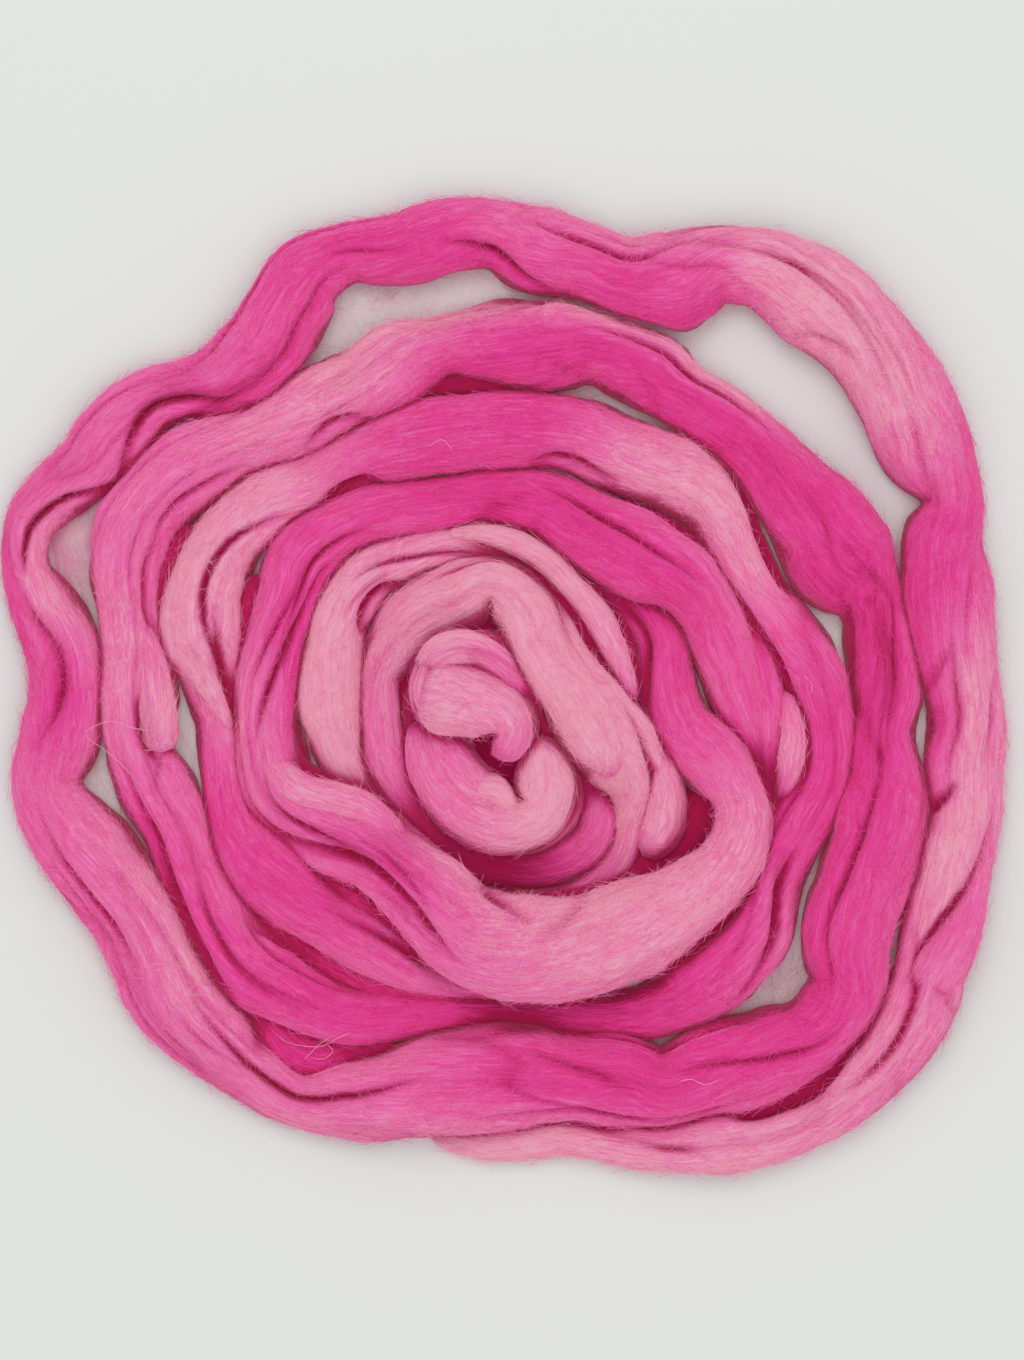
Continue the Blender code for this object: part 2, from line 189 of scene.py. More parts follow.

# Creases of the strand. A row is one crease: first and last row of the route, its side at the
# first, middle and last of them (1 is the inner edge, -1 the outer), its depth and reach to
# each side in mm, and how much lower the outer side of it lies in mm (negative: the inner side).
# A crease's depth also sets how much painted shade its colour gets.
CREASES = (
    (5.7, 7.0, 0.1, -0.1, -0.4, 2.5, 3.0, 0.0),
    (7.6, 10.4, 0.9, 0.8, 0.95, 8.0, 5.5, 0.0),
    (9.7, 14.3, 0.2, 0.0, 0.7, 4.0, 4.0, -0.8),
    (13.2, 15.4, 0.6, 0.1, -0.35, 2.6, 3.0, 0.5),
    (12.6, 13.6, -0.9, -0.5, 0.2, 2.5, 4.0, 0.0),
    (13.0, 17.2, 0.6, -0.4, -0.75, 4.0, 5.0, 0.0),
    (119.6, 121.7, -0.65, -0.4, -0.2, 4.0, 3.6, 3.0),
    (16.8, 17.7, 1.0, 0.7, 0.2, 5.0, 4.5, 0.0),
    (17.4, 21.4, 0.55, 0.35, 0.05, 2.4, 3.6, 0.0),
    (19.8, 20.7, 0.95, 0.6, 0.2, 2.8, 4.5, 0.0),
    (23.9, 26.0, 0.9, 0.4, 0.1, 1.6, 5.0, -1.0),
    (26.2, 30.7, 0.35, -0.1, -0.4, 2.2, 3.0, 0.6),
    (26.0, 29.0, -0.05, -0.35, -0.55, 1.6, 2.8, 0.0),
    (28.5, 30.3, -0.5, -0.62, -0.8, 1.5, 2.6, 0.0),
    (27.3, 28.9, 0.55, 0.6, 0.95, 2.2, 4.0, 0.0),
    (30.2, 33.0, 0.9, -0.1, -0.45, 1.8, 4.0, 0.6),
    (31.4, 35.7, -0.75, -0.45, -0.6, 3.4, 3.2, 0.8),
    (32.3, 34.3, -0.78, -0.8, -0.72, 1.8, 2.2, 0.0),
    (34.5, 37.1, 0.9, 0.55, 0.25, 4.0, 3.4, -0.6),
    (37.7, 39.5, 0.05, 0.12, -0.1, 2.0, 2.6, 0.0),
    (39.0, 43.6, 0.55, 0.62, 0.8, 2.8, 4.0, 0.0),
    (42.8, 46.9, 0.95, 0.25, 0.95, 6.5, 3.6, -1.5),
    (46.9, 50.3, 1.0, 0.3, -0.15, 6.0, 3.0, -0.8),
    (50.4, 54.4, -0.8, 0.0, -0.55, 3.6, 5.0, 0.0),
    (55.3, 59.1, -0.3, -0.5, -0.35, 2.8, 2.8, 0.5),
    (56.0, 58.7, -0.68, -0.78, -0.7, 1.8, 2.4, 0.0),
    (60.0, 65.6, 0.5, 0.2, 0.35, 5.0, 4.0, 1.0),
    (60.2, 62.0, 0.1, -0.1, 0.2, 2.0, 2.8, 0.0),
    (67.1, 69.5, 0.6, 0.3, -0.2, 2.4, 4.5, 0.0),
    (68.4, 71.0, 0.1, 0.15, 0.0, 1.2, 2.8, 0.0),
    (66.0, 71.2, -0.7, -0.72, -0.8, 2.2, 2.8, 0.5),
    (70.1, 73.6, 0.5, 0.1, -0.1, 2.8, 3.4, 0.6),
    (73.8, 79.0, 0.6, 0.5, 0.1, 3.5, 3.4, 0.0),
    (78.3, 82.3, 0.25, 0.1, 0.3, 2.6, 5.0, 0.6),
    (78.7, 81.6, -0.1, -0.2, -0.1, 1.5, 3.0, 0.0),
    (20.0, 22.7, -0.1, -0.3, -0.7, 1.6, 3.0, 0.0),
    (18.0, 20.1, -0.45, -0.6, -0.9, 2.2, 2.6, 0.0),
    (79.2, 81.9, -0.35, -0.3, -0.5, 1.8, 3.0, 0.0),
    (82.2, 85.0, 0.55, 0.1, -0.2, 1.6, 3.4, 0.0),
    (86.0, 90.2, -0.7, -0.55, -0.45, 3.4, 2.6, 1.2),
    (88.0, 89.2, 0.9, 0.5, 0.1, 1.5, 5.0, 0.0),
    (90.2, 91.2, 0.9, 0.6, 0.2, 1.2, 5.0, 0.0),
    (95.0, 96.4, 0.95, 0.6, 0.95, 4.0, 4.5, 0.0),
    (97.4, 100.6, 0.85, 0.6, 0.75, 3.0, 3.4, 0.0),
    (100.2, 103.2, 0.75, 0.6, 0.8, 3.0, 3.4, 0.0),
    (102.9, 105.9, 0.8, 0.2, 0.7, 3.0, 2.8, 0.0),
    (105.3, 106.1, 0.9, 0.4, -0.2, 2.2, 3.4, 0.0),
    (105.0, 110.2, -0.6, -0.65, -0.8, 3.4, 3.4, 0.8),
    (108.0, 112.0, 0.1, -0.1, 0.1, 2.0, 3.6, 0.0),
    (118.9, 121.7, -0.8, -0.55, 0.2, 3.0, 3.2, 0.8),
    (118.6, 121.6, 0.75, 0.65, 0.7, 4.5, 6.0, 0.0),
    (119.2, 120.8, -0.1, 0.1, 0.3, 1.8, 3.0, 0.0),
    (126.5, 129.2, -0.98, -0.9, -0.98, 9.0, 4.0, 0.0),
    (124.6, 127.4, 0.9, 0.8, 0.9, 3.0, 3.6, 0.0),
    (130.8, 132.7, 0.75, 0.7, 0.95, 3.6, 4.2, 0.0),
    (135.6, 137.1, 0.95, 0.75, 0.95, 4.2, 4.2, 0.0),
    (137.6, 142.4, 0.75, 0.05, 0.85, 5.0, 3.0, 1.2),
    (170.2, 173.0, 0.1, -0.15, -0.6, 3.0, 3.0, 0.0),
    (140.4, 143.2, 0.4, 0.6, 0.95, 4.5, 4.5, 0.0),
    (147.3, 150.6, 0.3, 0.45, 0.6, 2.2, 3.4, 0.0),
    (161.6, 165.3, -0.25, -0.35, -0.55, 3.4, 3.0, 0.5),
    (165.3, 166.6, -0.2, 0.4, 0.95, 1.5, 6.0, 0.0),
    (168.6, 172.1, 0.55, 0.3, 0.2, 3.4, 3.0, 0.5),
    (169.8, 172.6, 0.75, 0.6, 0.45, 2.8, 2.8, 0.0),
    (171.1, 174.0, 0.6, 0.2, -0.35, 4.0, 3.2, 0.5),
    (173.8, 177.6, 0.0, -0.25, 0.0, 2.6, 3.0, 0.6),
    (175.3, 179.2, -0.85, -0.35, -0.6, 5.0, 3.6, 4.5),
    (176.5, 178.4, 0.1, 0.05, -0.2, 2.6, 3.4, 0.0),
    (178.6, 180.2, 0.98, 0.8, 0.55, 2.8, 5.0, 0.0),
    (180.2, 181.5, 0.2, 0.6, 0.98, 2.0, 7.0, 0.0),
    (187.4, 190.0, 0.9, 0.5, 0.3, 3.2, 3.2, 0.0),
    (192.9, 195.4, 0.7, 0.0, -0.3, 3.0, 2.6, 0.5),
    (194.4, 196.4, 0.98, 0.7, 0.98, 6.0, 4.5, 0.0),
    (194.4, 196.2, 0.4, 0.3, 0.2, 1.8, 2.2, 0.0),
    (205.2, 208.8, -0.5, -0.45, -0.85, 4.0, 3.2, -0.8),
    (211.8, 213.3, 0.7, 0.9, 0.85, 6.0, 4.5, 0.0),
    (214.8, 216.5, 0.8, 0.95, 0.95, 5.5, 4.0, 0.0),
    (231.8, 233.6, 0.2, 0.5, 0.2, 1.6, 2.6, 0.0),
    (233.4, 234.4, 0.9, 0.5, 0.1, 2.4, 3.0, 0.0),
    (244.8, 246.0, 0.4, 0.1, -0.1, 1.4, 2.4, 0.0),
)

# Locks that lie on or beside the strand. A row is x and y, the width of the lock and the
# height of its top in mm, and its depth of dye from 0 to 1.
# The low locks in the gaps and grooves (the floors, band_groove and band_shade) fill them with
# wool, and their deepest dye there is painted shade.
LOCKS = {
    "heart_floor": (
        (-11, 38, 14, 12, 1), (-14, 24, 30, 13, 1), (-14, 6, 36, 13, 1), (-6, -12, 38, 12, 1),
        (0, -30, 34, 12, 1), (2, -44, 18, 11, 1)),
    "band_groove": (
        (10, 50, 8, 11, 0.9), (23, 35, 13, 13, 1), (34, 18, 14, 14, 1), (44, 2, 12, 13, 1),
        (51, -10, 8, 11, 1)),
    "third_floor": (
        (-101, -88, 6, 7, 1), (-92, -97, 11, 8, 1), (-76, -109, 13, 8, 1), (-60, -118, 14, 8, 1),
        (-42, -125, 12, 8, 1), (-18, -127, 8, 7, 1)),
    "bottom_left_floor": (
        (-107, -120, 7, 7, 1), (-96, -133, 13, 8, 1), (-86, -146, 18, 9, 1), (-74, -151, 17, 9, 1),
        (-59, -147, 14, 8, 1), (-43, -144, 9, 7, 1)),
    "fifth_floor": (
        (-88, -24, 6, 7, 1), (-81, -35, 12, 9, 1), (-70, -43, 12, 9, 1), (-57, -48, 12, 9, 1),
        (-48, -56, 8, 8, 1)),
    "top_right_floor": (
        (58, 70, 6, 7, 1), (68, 62, 11, 8, 1), (78, 53, 12, 8, 1), (86, 43, 10, 8, 1),
        (92, 33, 6, 7, 1)),
    "fourth_floor": (
        (-94, -62, 6, 8, 0.9), (-77, -72, 10, 9, 1), (-62, -83, 14, 10, 1), (-48, -93, 14, 10, 1),
        (-34, -104, 10, 10, 1), (-18, -112, 6, 8, 1)),
    "shoulder": (
        (-96, -22, 8, 11, 0.35), (-89, -35, 13, 16.5, 0.3), (-79, -43, 15, 20, 0.25),
        (-67, -46, 15, 22, 0.25),
        (-56, -50, 15, 22, 0.3), (-45, -59, 13, 22, 0.4), (-36, -69, 9, 21, 0.4)),
    "pit_floor": (
        (84, -34, 10, 8, 0.9), (81, -48, 20, 9, 1), (73, -62, 20, 9, 1), (60, -74, 14, 9, 1),
        (44, -80, 10, 8, 1)),
    "inner_end": (
        (-37, -2, 24, 24, 0.3), (-32, -3, 28, 31, 0.2), (-22, -5, 31, 35.5, 0.15),
        (-10, -8, 27, 36, 0.2), (-1, -13, 24, 35, 0.2), (3, -20, 19, 33, 0.3),
        (0, -26, 16, 31, 0.45), (-4, -28, 10, 28, 0.7)),
    "inner_end_cuff": (
        (-33, 3, 10, 27, 0.15), (-27, 9, 15, 31, 0.15), (-20, 13, 15, 33.5, 0.1),
        (-11, 13, 14, 33, 0.2), (-3, 9, 13, 31, 0.3), (4, 2, 11, 28, 0.4),
        (11, -6, 8, 24, 0.6)),
    "band_lining": (
        (-3, 21, 9, 20, 0.3), (2, 13, 12, 23, 0.3), (7, 4, 12, 23, 0.4),
        (11, -4, 10, 22, 0.5), (14, -12, 7, 20, 0.6)),
    "band_lobe": (
        (-48, -34, 6, 9, 0.4), (-52, -17, 11, 10, 0.35), (-51, 0, 17, 11, 0.25),
        (-44, 14, 24, 14, 0.15), (-31, 25, 31, 17, 0.1),
        (-17, 32, 29, 20, 0.05), (-4, 38.5, 21, 24, 0.05),
        (7, 31, 24, 28, 0.05), (16, 13, 25, 30, 0.05), (26, -4, 26, 31, 0.05),
        (35, -19, 25, 30, 0.05), (42, -31, 20, 27, 0.15), (45, -38, 10, 22, 0.35)),
    "band_shade": (
        (40, 41, 7, 8, 0.9), (48, 24, 10, 8, 1), (51, 8, 10, 8, 1), (56, -8, 10, 8, 1),
        (64, -24, 10, 8, 1), (72, -37, 9, 8, 1)),
    "band_edge": (
        (61, -25, 7, 15, 0.3), (65, -37, 14, 18, 0.2), (66, -49, 17, 18.5, 0.15),
        (63, -61, 17, 18, 0.2), (56, -69, 13, 15, 0.4)),
    "loop": (
        (-33, -14, 10, 16, 0.4), (-31, -27, 16, 20, 0.4), (-24, -41, 21, 23, 0.35),
        (-11, -52, 25, 25, 0.3), (4, -56, 27, 27, 0.15), (14, -51, 28, 28.5, 0.05),
        (17, -42, 27, 28.5, 0.05), (16, -33, 25, 26.5, 0.05), (14.5, -25, 16, 24, 0.1),
        (13.5, -20, 8, 21, 0.2)),
    "outer_pink_lobe": (
        (195, -56, 5, 12, 0.3), (192, -72, 8, 14, 0.35), (188, -87, 12, 16.5, 0.5),
        (181, -102, 18, 18.5, 0.5), (175, -113, 23, 19, 0.4), (171, -122, 24, 17.5, 0.35),
        (168, -128, 22, 14, 0.15)),
    "corner_floor": (
        (92, -168, 5, 4, 1), (104, -167, 10, 5, 1), (117, -164, 11, 5, 1), (131, -156, 6, 5, 1)),
    "loop_inner": (
        (-30, -12, 10, 18, 0.45), (-24, -24, 18, 22, 0.4), (-17, -35, 19, 23.5, 0.35),
        (-7, -44, 17, 25, 0.25), (2, -49, 12, 24, 0.15)),
    "loop_fold": (
        (-19, -45, 10, 21, 0.35), (-11, -43, 13, 25, 0.2), (-3, -42, 12, 26.5, 0.05),
        (2, -47, 9, 26.5, 0.05), (7, -53, 6, 24, 0.1)),
    "right_pit_floor": (
        (98, 24, 6, 8, 0.9), (105, 6, 10, 12, 0.7), (108, -10, 13, 13, 0.6),
        (109, -28, 14, 12, 0.6), (111, -46, 13, 9, 1), (104, -62, 11, 9, 1), (94, -74, 10, 8, 1)),
    "right_pale_lobe": (
        (113, -3, 4, 12, 0.5), (115, -12, 7, 15.5, 0.35), (116, -21, 9, 17.5, 0.25),
        (115, -31, 10, 17, 0.25), (113, -40, 8, 14, 0.4), (110, -48, 5, 9, 0.7)),
    "upper_pit_floor": (
        (-33, 117, 5, 7, 1), (-20, 120, 10, 8, 1), (-8, 120, 10, 8, 1), (4, 118, 6, 7, 1)),
    "second_turn_finger": (
        (-144, 24, 8, 12, 0.35), (-140, 10, 13, 16, 0.3), (-138, -4, 15, 18, 0.2),
        (-137, -16, 16, 18.5, 0.15), (-137, -28, 15, 17, 0.3)),
    "third_turn_tip": (
        (-130, 36, 8, 12, 0.1), (-127, 19, 13, 15.5, 0.05), (-121, 5, 12, 14.5, 0.05),
        (-114, -8, 8, 13, 0.15), (-109, -19, 4, 10, 0.3)),
    "left_pit_floor": (
        (-99, 44, 8, 8, 1), (-102, 30, 11, 9, 1), (-105, 14, 10, 9, 1), (-107, 2, 8, 8, 1)),
    "second_pit_floor": (
        (-124, 64, 8, 8, 1), (-131, 54, 10, 9, 1), (-136, 42, 10, 9, 1), (-139, 28, 8, 8, 1)),
    "beside_band": (
        (-22, 60, 4, 10, 0.15), (-9, 60, 8, 12, 0.1), (5, 56, 11, 15, 0.1),
        (17, 49, 12, 17, 0.1), (27, 39, 12, 19, 0.1),
        (37, 27, 13, 20, 0.15), (44, 14, 12, 20, 0.2), (49, 2, 9, 18, 0.3),
        (52, -8, 6, 15, 0.5)),
}

# Thin veils of single fibres over the open gaps, in rows like the locks'. They are stray fibres,
# and they also darken the gaps' floor and tint it pink, as painted shade and painted bounce light.
VEILS = {
    "top_left_gap": (
        (-92, 128, 40, 3, 0.6), (-64, 142, 52, 3, 0.5), (-34, 149, 48, 3, 0.5),
        (-6, 156, 44, 3, 0.5), (20, 158, 30, 3, 0.6)),
    "left_gap": (
        (-182, 88, 24, 3, 0.6), (-172, 62, 34, 3, 0.5), (-166, 40, 30, 3, 0.5),
        (-158, 18, 20, 3, 0.6)),
    "left_gap_again": (
        (-170, 78, 24, 5, 0.6), (-168, 60, 28, 5, 0.5), (-165, 40, 26, 5, 0.5),
        (-160, 24, 18, 5, 0.6)),
    "left_gap_low": (
        (-174, 76, 30, 7, 0.6), (-168, 56, 36, 7, 0.5), (-161, 30, 26, 7, 0.6)),
    "lower_left_gap": (
        (-174, -14, 16, 3, 0.6), (-160, -40, 24, 3, 0.5), (-148, -58, 24, 3, 0.5),
        (-134, -80, 16, 3, 0.6)),
    "beside_finger_gap": (
        (-128, -2, 16, 3, 0.6), (-125, -26, 20, 3, 0.5), (-120, -52, 16, 3, 0.6)),
    "upper_gap": (
        (6, 122, 16, 3, 0.6), (34, 117, 22, 3, 0.6), (47, 112, 22, 3, 0.6), (72, 96, 16, 3, 0.6)),
    "bottom_right_gap": (
        (126, -56, 20, 3, 0.7), (119, -90, 30, 3, 0.6), (113, -112, 34, 3, 0.6),
        (100, -136, 34, 3, 0.6), (84, -144, 20, 3, 0.6)),
    "bottom_right_gap_again": (
        (124, -70, 24, 4, 0.7), (116, -104, 32, 4, 0.6), (96, -136, 30, 4, 0.6)),
}

# How deep the dye is along the strand: a row of the route, then the depth at the outer edge,
# the middle and the inner edge, from 0 (pale) to 1 (deepest).
# The depths were read off colours that include the shading: below the loop near row 220 and on the
# outer side near rows 174 to 179, the deeper dye is painted shade.
DYE = (
    (0, 0.05, 0.0, 0.1), (4, 0.1, 0.05, 0.1), (6, 0.15, 0.2, 0.35), (8, 0.15, 0.1, 0.3),
    (10, 0.3, 0.15, 0.25), (12, 0.35, 0.2, 0.3), (13, 0.25, 0.35, 0.4), (14, 0.2, 0.3, 0.35),
    (15.5, 0.3, 0.1, 0.1), (17, 0.25, 0.1, 0.25), (18, 0.3, 0.15, 0.7), (20, 0.25, 0.2, 0.8),
    (21, 0.35, 0.45, 0.85), (22, 0.55, 0.75, 0.85), (23.5, 0.65, 0.8, 0.7),
    (25, 0.6, 0.35, 0.45), (26.5, 0.35, 0.1, 0.2), (28, 0.2, 0.05, 0.1),
    (29.5, 0.1, 0.1, 0.25), (30.5, 0.15, 0.1, 0.5), (31.5, 0.2, 0.6, 0.8),
    (33, 0.2, 0.85, 0.8), (34.3, 0.3, 0.6, 0.65), (36, 0.45, 0.5, 0.85), (37, 0.6, 0.85, 0.8),
    (39, 0.65, 0.8, 0.65), (41, 0.6, 0.65, 0.7), (43, 0.55, 0.6, 0.7), (45, 0.5, 0.45, 0.55),
    (47, 0.5, 0.5, 0.4), (49, 0.45, 0.4, 0.25), (51, 0.8, 0.2, 0.2), (53, 0.6, 0.9, 0.5),
    (55, 0.5, 0.5, 0.4), (57, 0.5, 0.4, 0.25), (59, 0.5, 0.3, 0.15), (61, 0.45, 0.3, 0.35),
    (63, 0.25, 0.35, 0.4), (65, 0.25, 0.5, 0.4), (67, 0.35, 0.8, 0.6), (69, 0.5, 0.85, 0.8),
    (71, 0.55, 0.8, 0.75), (73, 0.6, 0.8, 0.85), (75, 0.55, 0.75, 0.8), (77, 0.65, 0.75, 0.8),
    (79, 0.6, 0.8, 0.95), (81, 0.55, 0.95, 0.95), (82.5, 0.75, 0.95, 0.9),
    (84, 0.7, 0.85, 0.75), (86, 0.5, 1.0, 0.85), (87, 0.1, 0.9, 0.9), (90, 0.1, 0.85, 0.75),
    (91.5, 0.15, 0.9, 0.85), (93, 0.1, 0.5, 0.85), (95, 0.1, 0.15, 0.5),
    (97, 0.35, 0.25, 0.35), (99, 0.5, 0.4, 0.5), (101, 0.4, 0.4, 0.5), (103, 0.3, 0.25, 0.3),
    (105, 0.4, 0.35, 0.35), (107, 0.9, 0.5, 0.5), (109, 0.85, 0.7, 0.45),
    (111, 0.6, 0.8, 0.85), (113, 0.7, 0.85, 0.8), (115, 0.9, 0.95, 0.9),
    (117, 0.95, 0.95, 0.95), (119, 0.6, 0.8, 0.9), (120.5, 0.4, 0.6, 0.9),
    (122, 0.8, 0.75, 0.75), (124, 0.75, 0.8, 0.7), (126, 0.6, 0.6, 0.6),
    (127.5, 0.3, 0.2, 0.3), (129.5, 0.15, 0.1, 0.15), (131, 0.45, 0.25, 0.25),
    (132.5, 0.75, 0.8, 0.7), (134.5, 0.7, 0.75, 0.75), (136, 0.45, 0.55, 0.7),
    (137.5, 0.2, 0.2, 0.3), (139.5, 0.1, 0.1, 0.15), (141.5, 0.1, 0.15, 0.2),
    (142.8, 0.4, 0.3, 0.15), (144.5, 0.8, 0.75, 0.5), (147, 0.7, 0.8, 0.75),
    (149, 0.5, 0.6, 0.6), (151, 0.5, 0.4, 0.4), (153, 0.8, 0.8, 0.8), (157, 0.8, 0.8, 0.8),
    (158.5, 0.5, 0.6, 0.7), (160, 0.45, 0.6, 0.55), (162, 0.5, 0.8, 0.75),
    (164, 0.7, 0.85, 0.7), (166, 0.85, 0.95, 0.95), (168, 0.75, 0.7, 0.65),
    (170, 0.65, 0.7, 0.75), (171.5, 0.5, 0.7, 0.85), (173, 0.25, 0.45, 0.85),
    (174.5, 0.35, 0.4, 0.4), (176, 0.5, 0.5, 0.3), (177.5, 0.5, 0.7, 0.25),
    (179, 0.45, 0.4, 0.15), (181, 0.3, 0.15, 0.1), (183, 0.2, 0.15, 0.15),
    (185, 0.35, 0.3, 0.3), (186.5, 0.6, 0.6, 0.6), (188, 0.75, 0.75, 0.8),
    (189.5, 0.6, 0.9, 0.5), (190.5, 0.2, 0.3, 0.3), (192, 0.1, 0.1, 0.1),
    (194, 0.25, 0.2, 0.2), (196, 0.1, 0.1, 0.2), (198, 0.05, 0.05, 0.1),
    (200, 0.1, 0.1, 0.1), (202, 0.4, 0.4, 0.4), (205, 0.4, 0.4, 0.4), (206, 0.2, 0.15, 0.2),
    (208, 0.1, 0.05, 0.05), (211, 0.1, 0.05, 0.05), (213, 0.1, 0.1, 0.15),
    (214.5, 0.2, 0.15, 0.3), (216, 0.35, 0.3, 0.4), (218, 0.4, 0.4, 0.5),
    (220, 0.85, 0.85, 0.8), (221, 0.65, 0.65, 0.6), (222, 0.5, 0.5, 0.5), (224, 0.4, 0.4, 0.45),
    (226, 0.4, 0.4, 0.4), (230, 0.3, 0.3, 0.3), (231.5, 0.6, 0.5, 0.4),
    (233, 0.4, 0.2, 0.1), (234.5, 0.15, 0.05, 0.05), (236, 0.4, 0.3, 0.3),
    (238, 0.5, 0.5, 0.5), (240, 0.25, 0.2, 0.3), (242, 0.2, 0.1, 0.25),
    (244, 0.3, 0.2, 0.2), (246, 0.3, 0.2, 0.15), (248, 0.5, 0.3, 0.3),
)

# The last colour is painted shade, not dye.
DYE_COLOURS = ("Pale", "Rosy", "Hot", "Deep", "Painted_shade")

# Single hairs that stand out, as points in the millimetres of the route.
STRAY_HAIRS = (
    ((-133, -19), (-146, -18), (-156, -15), (-166, -20), (-158, -27), (-151, -33), (-143, -42)),
    ((-92, -139), (-87, -143), (-80, -145), (-72, -145), (-65, -141), (-60, -139)),
    ((-80, -151), (-77, -148), (-73, -144), (-69, -141)),
    ((-76, -150), (-71, -150), (-68, -147), (-70, -144)),
    ((-64, -34), (-58, -34), (-56, -40), (-60, -45), (-66, -43)),
    ((120, 3), (123, 0), (123, -4)),
    ((-30, 94), (-24, 97), (-20, 93)),
    ((70, -158), (75, -157), (80, -159), (86, -157)),
)


def rose(red, green, blue):
    """A display colour from 0 to 255 as the linear colour that a shader takes."""
    shown = np.array((red, green, blue)) / 255.0
    linear = np.where(shown <= 0.04045, shown / 12.92, ((shown + 0.055) / 1.055) ** 2.4)
    return tuple(float(value) for value in linear)


def length_in_mm(name, description, default, least, most):
    """A length setting, given in millimetres."""
    return bpy.props.FloatProperty(
        name=name, description=description, default=default * MM, min=least * MM,
        max=most * MM, subtype="DISTANCE", unit="LENGTH", precision=6)


def share_of(name, description, default, most=1.0):
    """A share setting."""
    return bpy.props.FloatProperty(name=name, description=description, default=default,
                                   min=0.0, max=most, subtype="FACTOR")


def how_many(name, description, default, least, most):
    """A counted setting."""
    return bpy.props.IntProperty(name=name, description=description, default=default,
                                 min=least, max=most)


def colour_of(name, description, *shown):
    """A colour setting, given as a display colour from 0 to 255."""
    return bpy.props.FloatVectorProperty(name=name, description=description, size=3, min=0.0,
                                         max=1.0, default=rose(*shown), subtype="COLOR")


class RovingShape(bpy.types.PropertyGroup):
    """Sizes of the strand's surface."""

    station_spacing: length_in_mm(
        "Station spacing", "Distance between two sections of the strand", 2.62, 1.2, 6.0)
    points_round: how_many(
        "Points round", "Points round each section", STRAND_POINTS, 16, 80)
    overlap: length_in_mm(
        "Overlap", "How far two turns that press on each other share space", 1.6, 0.0, 3.0)
    lobe_depth: length_in_mm(
        "Lobe depth", "Depth of the valleys between the strand's lobes", 1.7, 0.0, 5.0)
    crease_share: share_of(
        "Crease share", "Depth of the drawn creases against the table's", 1.3, 3.0)


class RovingDye(bpy.types.PropertyGroup):
    """Colours of the dyed wool, and the colour of the painted shade."""

    pale: colour_of("Pale", "Wool that took up the least dye", 243, 170, 194)
    rosy: colour_of("Rosy", "Wool of middling depth", 240, 112, 178)
    hot: colour_of("Hot", "Strongly dyed wool", 234, 62, 154)
    # Folds and pinches also reach the deep colour through the painted shade of the creases, which
    # deepens the dye there.
    deep: colour_of("Deep", "The deepest dye, at folds and pinches", 202, 20, 98)
    # Painted shade: the colour that the deepest creases, hollows and seams are turned to, standing
    # in for the shade that falls there.
    painted_shade: colour_of("Painted_shade", "The wool in the deepest hollows", 160, 10, 66)
    streak: share_of("Streak", "How much the dye differs from fibre to fibre", 0.17)


class RovingFibres(bpy.types.PropertyGroup):
    """Numbers and sizes of single fibres."""

    lying: how_many("Lying fibres", "Fibres along the surface", 5100, 0, 5200)
    fuzz: how_many("Fuzz", "Short fibres that stand off the surface, in each of three pieces",
                   13000, 0, 14000)
    veil: how_many("Veil", "Fibres that lie over the open gaps", 1800, 0, 9000)
    radius: length_in_mm("Fibre radius", "Half the thickness of a drawn fibre", 0.07, 0.02, 0.3)


class RovingStage(bpy.types.PropertyGroup):
    """Floor, light and camera."""

    floor: colour_of("Floor", "Colour of the surface the roving lies on", 231, 233, 231)
    sky: bpy.props.FloatProperty(
        name="Sky", description="Strength of the light from all around", default=0.72, min=0.0,
        max=4.0)
    lamp: bpy.props.FloatProperty(
        name="Lamp", description="Power of the soft lamp", default=5.2, min=0.0, max=400.0,
        unit="POWER")
    camera_height: length_in_mm(
        "Camera height", "Height of the camera above the surface", 1150, 500, 4000)


def even_noise(places, seed):
    """Smooth value noise from -1 to 1 at each place, the same on every run."""
    cell = np.floor(places).astype(np.int64)
    part = places - cell
    fade = part * part * part * (part * (part * 6.0 - 15.0) + 10.0)
    total = np.zeros(len(places))
    for corner in range(8):
        step = np.array((corner & 1, (corner >> 1) & 1, corner >> 2))
        at = cell + step
        mixed = (at[:, 0] * 374761393 + at[:, 1] * 668265263 + at[:, 2] * 1274126177
                 + seed * 974634777) & 0xFFFFFFFF
        mixed = ((mixed ^ (mixed >> 13)) * 1103515245 + 12345) & 0xFFFFFFFF
        mixed = ((mixed ^ (mixed >> 16)) * 69069) & 0xFFFFFFFF
        value = ((mixed ^ (mixed >> 11)) & 0xFFFFFF) / 8388607.5 - 1.0
        weight = np.prod(np.where(step == 1, fade, 1.0 - fade), axis=1)
        total += value * weight
    return total


def pattern(name, places):
    """One of the wool's noise patterns at each place."""
    cells, seed = PATTERNS[name]
    return even_noise(places / np.array(cells) / MM, seed)


def smooth_step(low, high, value):
    """0 below low, 1 above high, and a smooth rise between."""
    share = np.clip((value - low) / (high - low), 0.0, 1.0)
    return share * share * (3.0 - 2.0 * share)


